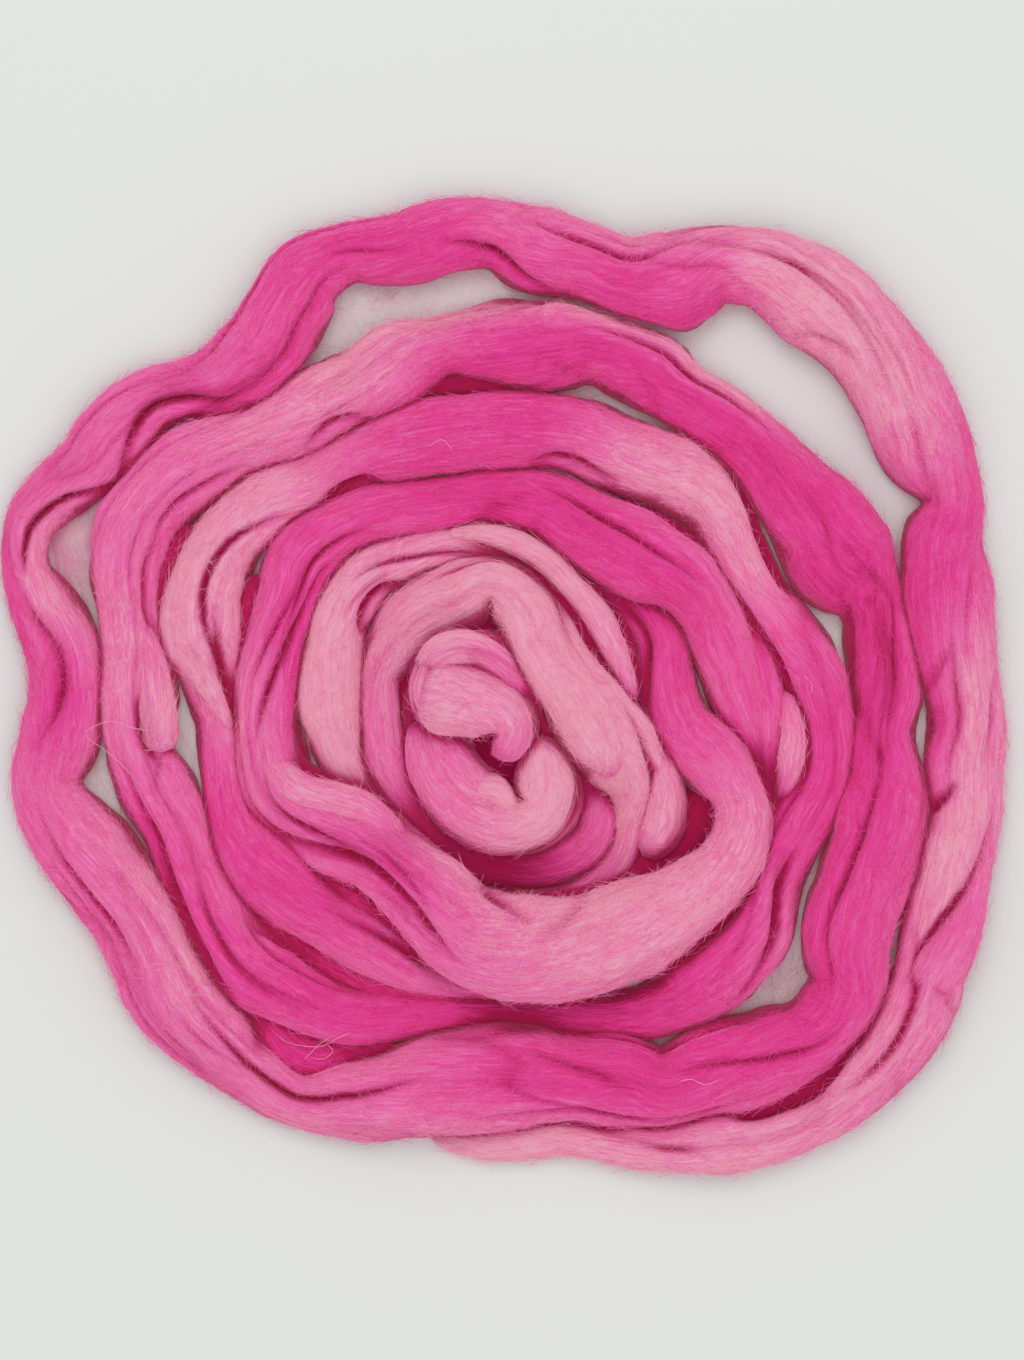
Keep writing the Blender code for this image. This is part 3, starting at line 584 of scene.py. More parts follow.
def smooth_curve(rows, steps_per_row):
    """Points on a smooth curve through the rows, and the row number of each."""
    chord = np.linalg.norm(np.diff(rows[:, :2], axis=0), axis=1)
    at = np.concatenate(([0.0], np.cumsum(chord)))
    slope = np.gradient(rows, at, axis=0)
    t = np.linspace(0.0, 1.0, steps_per_row, endpoint=False)[None, :, None]
    span = chord[:, None, None]
    first, last = rows[:-1, None, :], rows[1:, None, :]
    points = (
        first * (1 + 2 * t) * (1 - t) ** 2 + slope[:-1, None, :] * span * t * (1 - t) ** 2
        + last * t * t * (3 - 2 * t) - slope[1:, None, :] * span * t * t * (1 - t)
    ).reshape(-1, rows.shape[1])
    numbers = np.arange(len(points)) / steps_per_row
    return np.vstack((points, rows[-1:])), np.append(numbers, len(rows) - 1.0)


def eased(values, reach):
    """Values averaged with their neighbours along the first axis."""
    width = int(max(1, reach))
    kernel = np.hanning(2 * width + 3)[1:-1]
    kernel /= kernel.sum()
    padded = np.pad(values, ((width, width), (0, 0)), mode="edge")
    return np.column_stack([np.convolve(column, kernel, mode="valid") for column in padded.T])


class CombedWool:
    """A closed body of combed wool: stations along it, and points round each section."""

    STEPS_PER_ROW = 16
    FEWEST_STATIONS = 8
    # One point in five lies on a section's underside.
    UNDER = 5
    # Heights of a section's widest place and of its core, as shares of its thickness.
    WIDEST, CORE = 0.36, 0.45
    # Powers that shape the outline across and up: below 1 it is squarer than an ellipse.
    TOP_POWERS, UNDER_POWERS = (0.92, 0.86), (0.74, 0.68)
    # Distance over which directions and widths are evened out along the strand.
    EVENED = 5 * MM
    # How full a section is at the very end of the strand.
    END_FULLNESS = 0.06

    def __init__(self, rows, spacing, points_round, seed):
        curve, numbers = smooth_curve(rows, self.STEPS_PER_ROW)
        steps = np.linalg.norm(np.diff(curve[:, :2], axis=0), axis=1)
        run = np.concatenate(([0.0], np.cumsum(steps)))
        count = max(self.FEWEST_STATIONS, int(run[-1] / spacing) + 1)
        self.run = np.linspace(0.0, run[-1], count)
        self.spacing = run[-1] / (count - 1)
        self.row = np.interp(self.run, run, numbers)
        self.values = np.column_stack(
            [np.interp(self.run, run, curve[:, column]) for column in range(curve.shape[1])])
        self.centre = self.values[:, :2]
        self.width = np.maximum(self.values[:, 2], 1.0 * MM)
        self.seed = seed
        self.frames()
        self.angles(points_round)

    def frames(self):
        """Directions along the strand and to its left, and how sharply it bends."""
        centre = eased(self.centre, self.EVENED / self.spacing)
        along = np.gradient(centre, axis=0)
        length = np.linalg.norm(along, axis=1)
        self.along = along / length[:, None]
        self.left = np.column_stack((-self.along[:, 1], self.along[:, 0]))
        self.bend = np.einsum("ij,ij->i", np.gradient(self.along, axis=0), self.left) / length

    def angles(self, points_round):
        """Angles of a section's points, from the left edge over the top, more of them above."""
        below = points_round // self.UNDER
        self.above = points_round - below
        over = np.linspace(0.0, math.pi, self.above + 1)[:-1]
        under = np.linspace(math.pi, 2.0 * math.pi, below + 1)[:-1]
        self.angle = np.tile(np.concatenate((over, under)), (len(self.run), 1))

    def set_half_widths(self, widths):
        """Half widths to the left and right, no wider than a bend allows, without steps."""
        widths = widths.copy()
        side = np.where(self.bend > 0, 0, 1)
        every = np.arange(len(widths))
        bend_limit = 0.85 / np.maximum(np.abs(self.bend), 1e-6)
        widths[every, side] = np.minimum(widths[every, side], bend_limit)
        reach = max(1, int(self.EVENED / self.spacing))
        narrow = widths.copy()
        for step in range(1, reach):
            narrow[step:] = np.minimum(narrow[step:], widths[:-step])
            narrow[:-step] = np.minimum(narrow[:-step], widths[step:])
        uneven = np.column_stack((self.waves(0), self.waves(1)))
        uneven *= np.clip(self.width / (24 * MM), 0.0, 1.0)[:, None]
        self.half = np.maximum(eased(narrow, reach) + uneven, 0.8 * MM)

    def waves(self, side):
        """How uneven one edge is along the strand."""
        total = 0.0
        for length, size in EDGE_WAVES:
            place = np.full((len(self.run), 3), 7.3 * side + 0.37 * self.seed)
            place[:, 0] += self.run / (length * MM)
            total = total + size * MM * even_noise(place, EDGE_SEED)
        return total

    def outline(self):
        """Each section's outline before its creases, and the way its points are pushed."""
        cosine, sine = np.cos(self.angle), np.sin(self.angle)
        top = sine >= -1e-9
        (top_across, top_up), (under_across, under_up) = self.TOP_POWERS, self.UNDER_POWERS
        self.across = np.sign(cosine) * np.abs(cosine) ** np.where(top, top_across, under_across)
        self.up = np.where(top, self.WIDEST + (1.0 - self.WIDEST) * np.abs(sine) ** top_up,
                           self.WIDEST * (1.0 - np.abs(sine) ** under_up))
        push = np.stack((cosine, np.where(top, 0.35 + 0.9 * sine, 0.3 * sine)), axis=2)
        self.push = push / np.linalg.norm(push, axis=2)[:, :, None]
        self.facing_up = smooth_step(0.30, 0.62, self.up)

    def taper(self, first_end, last_end):
        """How full each section is: 1 along the strand, rounding off to its ends."""
        ends = np.minimum(self.run / first_end, (self.run[-1] - self.run) / last_end)
        ends = np.clip(ends, 0.0, 1.0)
        rounding = np.sqrt(ends * (2.0 - ends))[:, None]
        return self.END_FULLNESS + (1.0 - self.END_FULLNESS) * rounding

    def comb(self, sideways, height):
        """The lie of the fibres: how far along the strand, and where in its twisting section."""
        twist = sum(swing * np.sin(self.run / length + start) for swing, length, start in TWISTS)
        cosine, sine = np.cos(twist)[:, None], np.sin(twist)[:, None]
        rise = height - self.CORE * self.thick[:, None]
        along = np.repeat(self.run[:, None], sideways.shape[1], axis=1) + 0.37 * self.seed
        return np.stack((along, sideways * cosine - rise * sine,
                         sideways * sine + rise * cosine), axis=2)

    def lobes(self, lobe_depth):
        """Dents between the strand's lobes, the swell of the lobes, and how much painted shade a
        dent gets.
        """
        lie = self.lie.reshape(-1, 3)
        wander = pattern("wander", lie)
        lie = lie + np.column_stack(
            (np.zeros(len(wander)), 2.2 * MM * wander, -1.6 * MM * wander))
        valley = np.clip(1.0 - np.abs(pattern("lobes", lie)) / 0.36, 0.0, 1.0) ** 2.2
        fine = np.clip(1.0 - np.abs(pattern("small_lobes", lie)) / 0.30, 0.0, 1.0) ** 1.6
        lobed = smooth_step(-0.35, 0.45, pattern("lobed_places", lie))
        valley = valley * (0.25 + 1.15 * lobed)
        size = np.clip(self.width / (30 * MM), 0.2, 1.15)[:, None]
        grid = self.angle.shape
        dent = (lobe_depth * valley + 0.2 * lobe_depth * fine).reshape(grid) * size
        swell = 1.5 * MM * pattern("swell", lie).reshape(grid) * size
        return dent, swell, 0.5 * (valley + 0.3 * fine).reshape(grid)

    def settle(self, taper, lobe_depth, skirt, pressed, creases, crease_share):
        """Places of all points, how much painted shade the creases, lobe valleys and pressed
        flanks get, and the lie of the fibres.
        """
        stations, around = self.angle.shape
        left_side = self.across > 0
        half = np.where(left_side, self.half[:, :1], self.half[:, 1:])
        sideways = self.across * half * taper
        height = (self.CORE + (self.up - self.CORE) * taper) * self.thick[:, None]
        arc = np.hypot(np.diff(sideways, axis=1), np.diff(height, axis=1))
        arc = np.concatenate((np.zeros((stations, 1)), np.cumsum(arc, axis=1)), axis=1)
        self.lie = self.comb(sideways, height)
        dent, swell, depth = self.lobes(lobe_depth)
        drop = np.zeros((stations, around))
        for crease in creases:
            self.crease(crease, crease_share, arc, dent, drop, depth)
        dent *= 0.25 + 0.75 * self.facing_up
        out = (swell - dent) * taper
        lowness = smooth_step(self.WIDEST, 0.10, self.up)
        lowness = lowness * smooth_step(0.25, 0.8, np.abs(self.across))
        spread = np.where(left_side, skirt[:, :1], skirt[:, 1:]) * lowness
        # Painted shade on the lower flanks where the wool presses on other wool.
        touching = np.where(left_side, pressed[:, :1], pressed[:, 1:])
        depth = np.maximum(depth, 0.4 * touching * smooth_step(0.80, 0.30, self.up))
        sideways = sideways + out * self.push[:, :, 0] + np.sign(self.across) * spread * taper
        height = height + out * self.push[:, :, 1] - drop * self.facing_up
        height = np.maximum(height, LOWEST + 0.04 * self.thick[:, None] * self.up)
        places = np.empty((stations, around, 3))
        places[:, :, :2] = self.centre[:, None, :] + self.left[:, None, :] * sideways[:, :, None]
        places[:, :, 2] = np.maximum(self.lift[:, None] + height, LOWEST)
        self.places = places
        self.depth = np.clip(depth, 0.0, 1.0)
        onward = np.roll(places, -1, axis=1) - np.roll(places, 1, axis=1)
        normal = np.cross(onward, np.gradient(places, axis=0))
        self.normal = normal / np.maximum(np.linalg.norm(normal, axis=2), 1e-12)[:, :, None]

    def crease_line(self, crease):
        """The stations that a crease of the table crosses, its angle there and its strength."""
        first, last, side_first, side_middle, side_last = crease[:5]
        t = (self.row - first) / (last - first)
        here = np.flatnonzero((t > 0.0) & (t < 1.0))
        t = t[here]
        side = side_first * (1 - t) * (1 - 2 * t) + side_middle * 4 * t * (1 - t) \
            + side_last * t * (2 * t - 1)
        turned = np.sign(side) * np.abs(side) ** (1.0 / self.TOP_POWERS[0])
        return here, np.arccos(np.clip(turned, -1.0, 1.0)), np.sin(math.pi * t) ** 0.6

    def snap(self, crease):
        """Move each section's nearest points so that one of them lies on the crease."""
        here, angle, _ = self.crease_line(crease)
        over = self.angle[here, :self.above]
        nearest = np.argmin(np.abs(over - angle[:, None]), axis=1)
        shift = angle - over[np.arange(len(here)), nearest]
        for step in range(-3, 4):
            point = nearest + step
            inside = (point > 0) & (point < self.above)
            self.angle[here[inside], point[inside]] += shift[inside] * (1.0 - (step / 4.0) ** 2)

    def crease(self, row, share, arc, dent, drop, depth):
        """Push one crease of the table into the surface, and paint shade along it."""
        deep, reach, lower = row[5:]
        here, angle, strength = self.crease_line(row)
        for station, turn, strong in zip(here, angle, strength):
            middle = np.interp(turn, self.angle[station, :self.above], arc[station, :self.above])
            offset = arc[station] - middle
            near = np.clip(1.0 - np.abs(offset) / (1.5 * reach * MM), 0.0, 1.0)
            dent[station] += share * deep * MM * strong * near ** 2.3
            # Painted shade along the crease: the deeper the crease, the more shade its colour
            # gets.
            deepened = near ** 1.6 * strong * min(1.0, deep / 3.0)
            depth[station] = np.maximum(depth[station], deepened)
            if lower:
                beyond = smooth_step(-1.2 * MM, 1.2 * MM, offset if lower > 0 else -offset)
                fading = np.exp(-np.abs(offset) / (14 * MM))
                drop[station] += abs(lower) * MM * beyond * fading * strong

    def at(self, station, point):
        """Places and outward directions at fractional stations and points of the outline."""
        stations, around = self.places.shape[:2]
        station = np.clip(station, 0.0, stations - 1.001)
        low = np.floor(station).astype(int)
        along = (station - low)[..., None]
        left = np.floor(point).astype(int)
        across = (point - left)[..., None]
        near, far = left % around, (left + 1) % around
        found = []
        for grid in (self.places, self.normal):
            found.append(
                (grid[low, near] * (1 - across) + grid[low, far] * across) * (1 - along)
                + (grid[low + 1, near] * (1 - across) + grid[low + 1, far] * across) * along)
        return found


def bridged(gap, full, wide):
    """What fills a gap: all of it up to full, then less and less until it is too wide."""
    return np.where(gap < full, gap, np.clip(full * (wide - gap) / (wide - full), 0.0, full))


class WoundStrand(CombedWool):
    """The strand along its whole route, pressed against its own turns."""

    # Thickness of the strand: what it has at no width, and its share of the width.
    THINNEST, THICKNESS_SHARE = 2.4 * MM, 0.48
    END = 9 * MM
    # Places nearer than this along the strand don't press on each other.
    APART = 26 * MM

    def __init__(self, spacing, points_round, overlap, lobe_depth, crease_share):
        rows = np.array(ROUTE, dtype=float)
        rows[:, :2] -= np.array(MIDDLE)
        super().__init__(rows * MM, spacing, points_round, 0)
        self.lift = np.maximum(self.values[:, 3], 0.0)
        self.thick = self.THINNEST + self.THICKNESS_SHARE * self.width
        self.press(overlap)
        for crease in CREASES:
            self.snap(crease)
        self.outline()
        self.settle(self.taper(self.END, self.END), lobe_depth, self.skirt, self.pressed,
                    CREASES, crease_share)
        rows = np.repeat(self.row[:, None], self.angle.shape[1], axis=1)
        self.dye = dye_depth(rows, np.clip(self.across, -1.0, 1.0))

    def press(self, overlap):
        """Narrow the strand where its turns press on each other, and fill narrow gaps."""
        half = 0.5 * self.width
        middle = self.lift + 0.5 * self.thick
        room = np.full((len(half), 2), 1.0)
        for station in range(len(half)):
            away = self.centre - self.centre[station]
            distance = np.linalg.norm(away, axis=1)
            near = np.abs(self.run - self.run[station]) > self.APART
            near &= distance < 1.6 * (half + half[station])
            near &= np.abs(away @ self.along[station]) < 0.5 * distance
            near = np.flatnonzero(near)
            rise = np.abs(middle[near] - middle[station])
            rise /= 0.54 * (self.thick[near] + self.thick[station]) + 0.5 * MM
            level = rise < 1.0
            near, rise = near[level], rise[level]
            if not len(near):
                continue
            share = (distance[near] + overlap) / np.sqrt(1.0 - rise * rise)
            share = share * half[station] / (half[station] + half[near])
            inner = away[near] @ self.left[station] > 0
            for column, chosen in ((0, inner), (1, ~inner)):
                if chosen.any():
                    room[station, column] = share[chosen].min()
        gap = (room - half[:, None]) / MM
        grown = bridged(gap, 1.5, 5.0)
        skirt = np.maximum(bridged(gap - grown, 4.0, 9.0), 0.0)
        self.set_half_widths(half[:, None] + grown * MM)
        reach = int(self.EVENED / self.spacing)
        self.skirt = eased(skirt, reach) * MM
        # How hard the turns press at each side; it sets the painted shade on the lower flanks
        # there.
        self.pressed = eased(1.0 - smooth_step(0.5, 8.0, gap), reach)


class Lock(CombedWool):
    """A lock that lies on the strand: rows of x, y, width, height of its top, depth of dye."""

    SPACING, POINTS_ROUND = 2.2 * MM, 26
    LOWEST_TOP = 1.5 * MM
    LOBE_DEPTH = 1.4 * MM
    # Painted shade on the lower flanks of every lock, as on a flank pressed against other wool.
    PRESSED = 0.35

    def __init__(self, rows, seed):
        rows = np.array(rows, dtype=float)
        rows[:, :2] -= np.array(MIDDLE)
        rows[:, :4] *= MM
        super().__init__(rows, self.SPACING, self.POINTS_ROUND, seed)
        top = np.maximum(self.values[:, 3], self.LOWEST_TOP)
        self.thick = np.minimum(1.0 * MM + 0.62 * self.width, top - 0.1 * MM)
        self.lift = top - self.thick
        self.set_half_widths(np.repeat(0.5 * self.width[:, None], 2, axis=1))
        self.outline()
        ends = [min(0.5 * width, 0.4 * self.run[-1]) for width in (self.width[0], self.width[-1])]
        none = np.zeros((len(self.run), 2))
        self.settle(self.taper(*ends), self.LOBE_DEPTH, none, none + self.PRESSED, (), 1.0)
        self.dye = np.repeat(self.values[:, 4:5], self.angle.shape[1], axis=1)


def dye_depth(row, side):
    """How deep the dye is at rows of the route and sides of the strand."""
    table = np.array(DYE)
    outer, middle, inner = (np.interp(row, table[:, 0], table[:, column]) for column in (1, 2, 3))
    away = np.clip(np.abs(side) / 0.85, 0.0, 1.0) ** 1.3
    return middle * (1.0 - away) + np.where(side > 0, inner, outer) * away


@functools.lru_cache(maxsize=2)
def wind(spacing, points_round, overlap, lobe_depth, crease_share):
    """The strand for these sizes, worked out once."""
    return WoundStrand(spacing, points_round, overlap, lobe_depth, crease_share)


def wound_strand(scene):
    """The strand for the scene's sizes."""
    shape = scene.roving_shape
    return wind(round(shape.station_spacing, 6), shape.points_round, round(shape.overlap, 6),
                round(shape.lobe_depth, 6), round(shape.crease_share, 4))


def mesh_piece(name, points, faces, lie, dye, depth, material):
    """A mesh object with the fibres' lie, the depth of dye and the amount of painted shade on it.
    """
    mesh = bpy.data.meshes.new(name)
    mesh.from_pydata(points.tolist(), [], faces)
    for label, kind, values in (("lie", "FLOAT_VECTOR", lie), ("dye_depth", "FLOAT", dye),
                                ("painted_shade_depth", "FLOAT", depth)):
        layer = mesh.attributes.new(label, kind, "POINT")
        field = "vector" if kind == "FLOAT_VECTOR" else "value"
        layer.data.foreach_set(field, np.ascontiguousarray(values, dtype=np.float32).ravel())
    mesh.shade_smooth()
    mesh.materials.append(material)
    mesh.update()
    piece = bpy.data.objects.new(name, mesh)
    bpy.context.scene.collection.objects.link(piece)
    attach(piece, "root")
    return piece


def tube_faces(stations, around, start=0):
    """Faces of one closed tube of point rings, with a face across each end."""
    ring = np.arange(around)
    after = (ring + 1) % around
    faces = []
    for station in range(stations - 1):
        here, there = start + station * around, start + (station + 1) * around
        faces.extend(zip((here + ring).tolist(), (here + after).tolist(),
                         (there + after).tolist(), (there + ring).tolist()))
    faces.append([start + int(k) for k in reversed(ring)])
    faces.append([start + (stations - 1) * around + int(k) for k in ring])
    return faces


def fibre_piece(name, paths, radius, lie, dye, painted_shade, material):
    """Thin closed fibres along the paths, with SIDES sides each, as one piece."""
    count, points = paths.shape[:2]
    forward = np.gradient(paths, axis=1)
    forward /= np.maximum(np.linalg.norm(forward, axis=2), 1e-12)[:, :, None]
    sideways = np.cross(forward, np.array((0.0, 0.0, 1.0)))
    sideways += np.array((1e-6, 1e-6, 0.0))
    sideways /= np.linalg.norm(sideways, axis=2)[:, :, None]
    upward = np.cross(sideways, forward)
    rings = []
    for corner in range(SIDES):
        turn = 2.0 * math.pi * corner / SIDES
        rings.append(paths + radius[:, :, None]
                     * (math.cos(turn) * sideways + math.sin(turn) * upward))
    rings = np.stack(rings, axis=2)
    rings[..., 2] = np.maximum(rings[..., 2], LOWEST)
    ring = np.arange(SIDES)
    here = SIDES * np.arange(points - 1)[:, None] + ring
    after = SIDES * np.arange(points - 1)[:, None] + (ring + 1) % SIDES
    quads = np.stack((here, after, after + SIDES, here + SIDES), axis=2).reshape(-1, 4)
    caps = np.array((np.roll(ring[::-1], 1), SIDES * (points - 1) + ring))
    starts = np.arange(count)[:, None, None] * points * SIDES
    faces = (quads + starts).reshape(-1, 4).tolist() + (caps + starts).reshape(-1, SIDES).tolist()
    return mesh_piece(
        name, rings.reshape(-1, 3), faces, np.repeat(lie, SIDES, axis=1).reshape(-1, 3),
        np.repeat(dye, points * SIDES), np.repeat(painted_shade, SIDES, axis=1), material)


def new_group(name, inputs, outputs):
    """An empty shader node group with these sockets, as (name, kind, default) and (name, kind)."""
    group = bpy.data.node_groups.new(name, "ShaderNodeTree")
    for label, kind, default in inputs:
        socket = group.interface.new_socket(name=label, in_out="INPUT", socket_type=kind)
        if default is not None:
            socket.default_value = default
    for label, kind in outputs:
        group.interface.new_socket(name=label, in_out="OUTPUT", socket_type=kind)
    return group, group.nodes.new("NodeGroupInput"), group.nodes.new("NodeGroupOutput")


def math_node(tree, operation, first, second=None, clamp=False):
    """A Math node fed by sockets or numbers, and its output."""
    node = tree.nodes.new("ShaderNodeMath")
    node.operation = operation
    node.use_clamp = clamp
    for slot_number, value in enumerate((first, second)):
        if value is None:
            continue
        if isinstance(value, (int, float)):
            node.inputs[slot_number].default_value = value
        else:
            tree.links.new(value, node.inputs[slot_number])
    return node.outputs[0]


def mixed_colour(tree, share, first, second):
    """A colour mixed from two by a share."""
    node = tree.nodes.new("ShaderNodeMix")
    node.data_type = "RGBA"
    tree.links.new(share, node.inputs["Factor"])
    for label, value in (("A", first), ("B", second)):
        socket = next(s for s in node.inputs if s.name == label and s.type == "RGBA")
        if isinstance(value, tuple):
            socket.default_value = value
        else:
            tree.links.new(value, socket)
    return next(s for s in node.outputs if s.type == "RGBA")


def between(tree, value, low, high):
    """A smooth rise of a value from 0 at low to 1 at high."""
    node = tree.nodes.new("ShaderNodeMapRange")
    node.interpolation_type = "SMOOTHSTEP"
    tree.links.new(value, node.inputs["Value"])
    node.inputs["From Min"].default_value = low
    node.inputs["From Max"].default_value = high
    return node.outputs["Result"]


def combed_fibre_group():
    """Long fine streaks along the lie of the fibres, from 0 to 1."""
    known = bpy.data.node_groups.get("combed_fibre")
    if known:
        return known
    group, entry, exit_ = new_group(
        "combed_fibre",
        [("Lie", "NodeSocketVector", None), ("Fineness", "NodeSocketFloat", 1.0),
         ("Length", "NodeSocketFloat", 1.0)],
        [("Streak", "NodeSocketFloat"), ("Tuft", "NodeSocketFloat")])
    split = group.nodes.new("ShaderNodeSeparateXYZ")
    group.links.new(entry.outputs["Lie"], split.inputs[0])
    wander = group.nodes.new("ShaderNodeTexNoise")
    set_sockets(wander, {"Scale": 34.0, "Detail": 2.0})
    group.links.new(entry.outputs["Lie"], wander.inputs["Vector"])
    centred = math_node(group, "SUBTRACT", wander.outputs[0], 0.5)
    drift = math_node(group, "MULTIPLY", centred, 9 * MM)
    across = math_node(group, "ADD", split.outputs[1], drift)
    upward = math_node(group, "SUBTRACT", split.outputs[2], drift)
    results = []
    for along_scale, across_scale, detail in ((45.0, 1500.0, 3.0), (26.0, 520.0, 2.0)):
        join = group.nodes.new("ShaderNodeCombineXYZ")
        along_size = math_node(group, "DIVIDE", along_scale, entry.outputs["Length"])
        across_size = math_node(group, "MULTIPLY", across_scale, entry.outputs["Fineness"])
        group.links.new(math_node(group, "MULTIPLY", split.outputs[0], along_size), join.inputs[0])
        group.links.new(math_node(group, "MULTIPLY", across, across_size), join.inputs[1])
        group.links.new(math_node(group, "MULTIPLY", upward, across_size), join.inputs[2])
        streak = group.nodes.new("ShaderNodeTexNoise")
        set_sockets(streak, {"Scale": 1.0, "Detail": detail, "Roughness": 0.62})
        group.links.new(join.outputs[0], streak.inputs["Vector"])
        results.append(streak.outputs[0])
    group.links.new(between(group, results[0], 0.28, 0.72), exit_.inputs["Streak"])
    group.links.new(between(group, results[1], 0.30, 0.70), exit_.inputs["Tuft"])
    return group


def dye_and_shade_group():
    """The colour of the dye at a depth, uneven from fibre to fibre, turned towards the painted
    shade colour where the painted shade amount is high.
    """
    known = bpy.data.node_groups.get("dye_and_painted_shade")
    if known:
        return known
    colours = [(label, "NodeSocketColor", (1.0, 1.0, 1.0, 1.0)) for label in DYE_COLOURS]
    group, entry, exit_ = new_group(
        "dye_and_painted_shade",
        [("Depth", "NodeSocketFloat", 0.5), ("Painted_shade_amount", "NodeSocketFloat", 0.0),
         ("Streak", "NodeSocketFloat", 0.5), ("Tuft", "NodeSocketFloat", 0.5),
         ("Unevenness", "NodeSocketFloat", 0.3)] + colours,
        [("Colour", "NodeSocketColor")])
    streak = math_node(group, "SUBTRACT", entry.outputs["Streak"], 0.5)
    tuft = math_node(group, "SUBTRACT", entry.outputs["Tuft"], 0.5)
    mixed = math_node(group, "ADD", math_node(group, "MULTIPLY", streak, 1.8), tuft)
    uneven = math_node(group, "MULTIPLY", mixed, entry.outputs["Unevenness"])
    depth = math_node(group, "ADD", entry.outputs["Depth"], uneven)
    colour = entry.outputs["Pale"]
    # Deeper dye colours by depth, then the painted shade colour by the painted shade amount.
    for label, value, low, high in (("Rosy", depth, -0.02, 0.48), ("Hot", depth, 0.40, 0.86),
                                    ("Deep", depth, 0.84, 1.25),
                                    ("Painted_shade", entry.outputs["Painted_shade_amount"], 0.1, 1.8)):
        share = between(group, value, low, high)
        colour = mixed_colour(group, share, colour, entry.outputs[label])
    group.links.new(colour, exit_.inputs["Colour"])
    return group


def set_sockets(node, values):
    """Set a node's input sockets by name."""
    for label, value in values.items():
        node.inputs[label].default_value = value


def place_group(tree, group, links, values):
    """A group node in a material, with its links and its own values."""
    node = tree.nodes.new("ShaderNodeGroup")
    node.node_tree = group
    for label, socket in links.items():
        tree.links.new(socket, node.inputs[label])
    set_sockets(node, values)
    return node


def read_attribute(tree, name, output):
    """A value that the mesh carries."""
    node = tree.nodes.new("ShaderNodeAttribute")
    node.attribute_name = name
    return node.outputs[output]


def wool_material(name, dye, bump, unevenness, sheen):
    """Combed wool: streaked hand-dyed colour with painted shade in its creases and hollows and a
    painted glow, matte, with the relief of its fibres.
    """
    known = bpy.data.materials.get(name)
    if known:
        return known
    material = bpy.data.materials.new(name)
    material.use_nodes = True
    tree = material.node_tree
    shader = tree.nodes["Principled BSDF"]
    lie = read_attribute(tree, "lie", "Vector")
    fibre = place_group(tree, combed_fibre_group(), {"Lie": lie}, {"Fineness": 1.0, "Length": 1.0})
    depth = read_attribute(tree, "dye_depth", "Fac")
    # The painted shade amount that the mesh carries.
    crease = read_attribute(tree, "painted_shade_depth", "Fac")
    # The dye is made deeper by a share of the painted shade amount.
    deepened = math_node(tree, "ADD", depth, math_node(tree, "MULTIPLY", crease, 0.25))
    colours = {label: (*getattr(dye, label.lower()), 1.0) for label in DYE_COLOURS}
    dyed = place_group(
        tree, dye_and_shade_group(),
        {"Depth": deepened, "Painted_shade_amount": crease, "Streak": fibre.outputs["Streak"],
         "Tuft": fibre.outputs["Tuft"]},
        {"Unevenness": unevenness, **colours})
    tree.links.new(dyed.outputs["Colour"], shader.inputs["Base Color"])
    # Painted glow: emission that stands in for light passing through the wool, a little of it deep
    # in the hollows, more on the flanks that face sideways and down.
    painted_glow_deep = tuple(0.45 * value for value in dye.deep)
    painted_glow = mixed_colour(tree, between(tree, crease, 0.3, 1.8), (0.0, 0.0, 0.0, 1.0),
                        (*painted_glow_deep, 1.0))
    facing = tree.nodes.new("ShaderNodeSeparateXYZ")
    tree.links.new(tree.nodes.new("ShaderNodeNewGeometry").outputs["Normal"], facing.inputs[0])
    painted_glow_flank = math_node(tree, "MULTIPLY", between(tree, facing.outputs[2], 0.65, -0.05),
                      between(tree, crease, 1.1, 0.2))
    painted_glow = mixed_colour(tree, painted_glow_flank, painted_glow, (*dye.rosy, 1.0))
    tree.links.new(painted_glow, shader.inputs["Emission Color"])
    set_sockets(shader, {
        "Emission Strength": 0.31, "Roughness": 0.82, "Specular IOR Level": 0.25,
        "Sheen Weight": sheen, "Sheen Roughness": 0.45, "Sheen Tint": (1.0, 0.80, 0.90, 1.0)})
    if bump:
        height = math_node(tree, "ADD", fibre.outputs["Streak"], fibre.outputs["Tuft"])
        relief = tree.nodes.new("ShaderNodeBump")
        set_sockets(relief, {"Strength": bump, "Distance": 0.5 * MM})
        tree.links.new(height, relief.inputs["Height"])
        tree.links.new(relief.outputs["Normal"], shader.inputs["Normal"])
    return material


class ROVING_OT_strand(bpy.types.Operator):
    """Build the wound strand with its lobes and creases"""

    bl_idname = "roving.strand"
    bl_label = "Wound strand"

    def execute(self, context):
        strand = wound_strand(context.scene)
        all_wool(strand)
        stations, around = strand.places.shape[:2]
        dye = context.scene.roving_dye
        material = wool_material("combed_wool", dye, bump=0.5, unevenness=dye.streak, sheen=0.28)
        piece = mesh_piece(
            "wound_strand", strand.places.reshape(-1, 3), tube_faces(stations, around),
            strand.lie, strand.dye, strand.painted_shade, material)
        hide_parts("roving")
        every = max(1, int(PATH_STEP / strand.spacing))
        path = np.column_stack((strand.centre, strand.lift + strand.CORE * strand.thick))
        path = np.vstack((path[:-1:every], path[-1:]))
        length = float(np.linalg.norm(np.diff(path, axis=0), axis=1).sum())
        piece["strand_length_m"] = length
        piece["strand_path"] = [float(value) for value in path.ravel()]
        return {"FINISHED"}


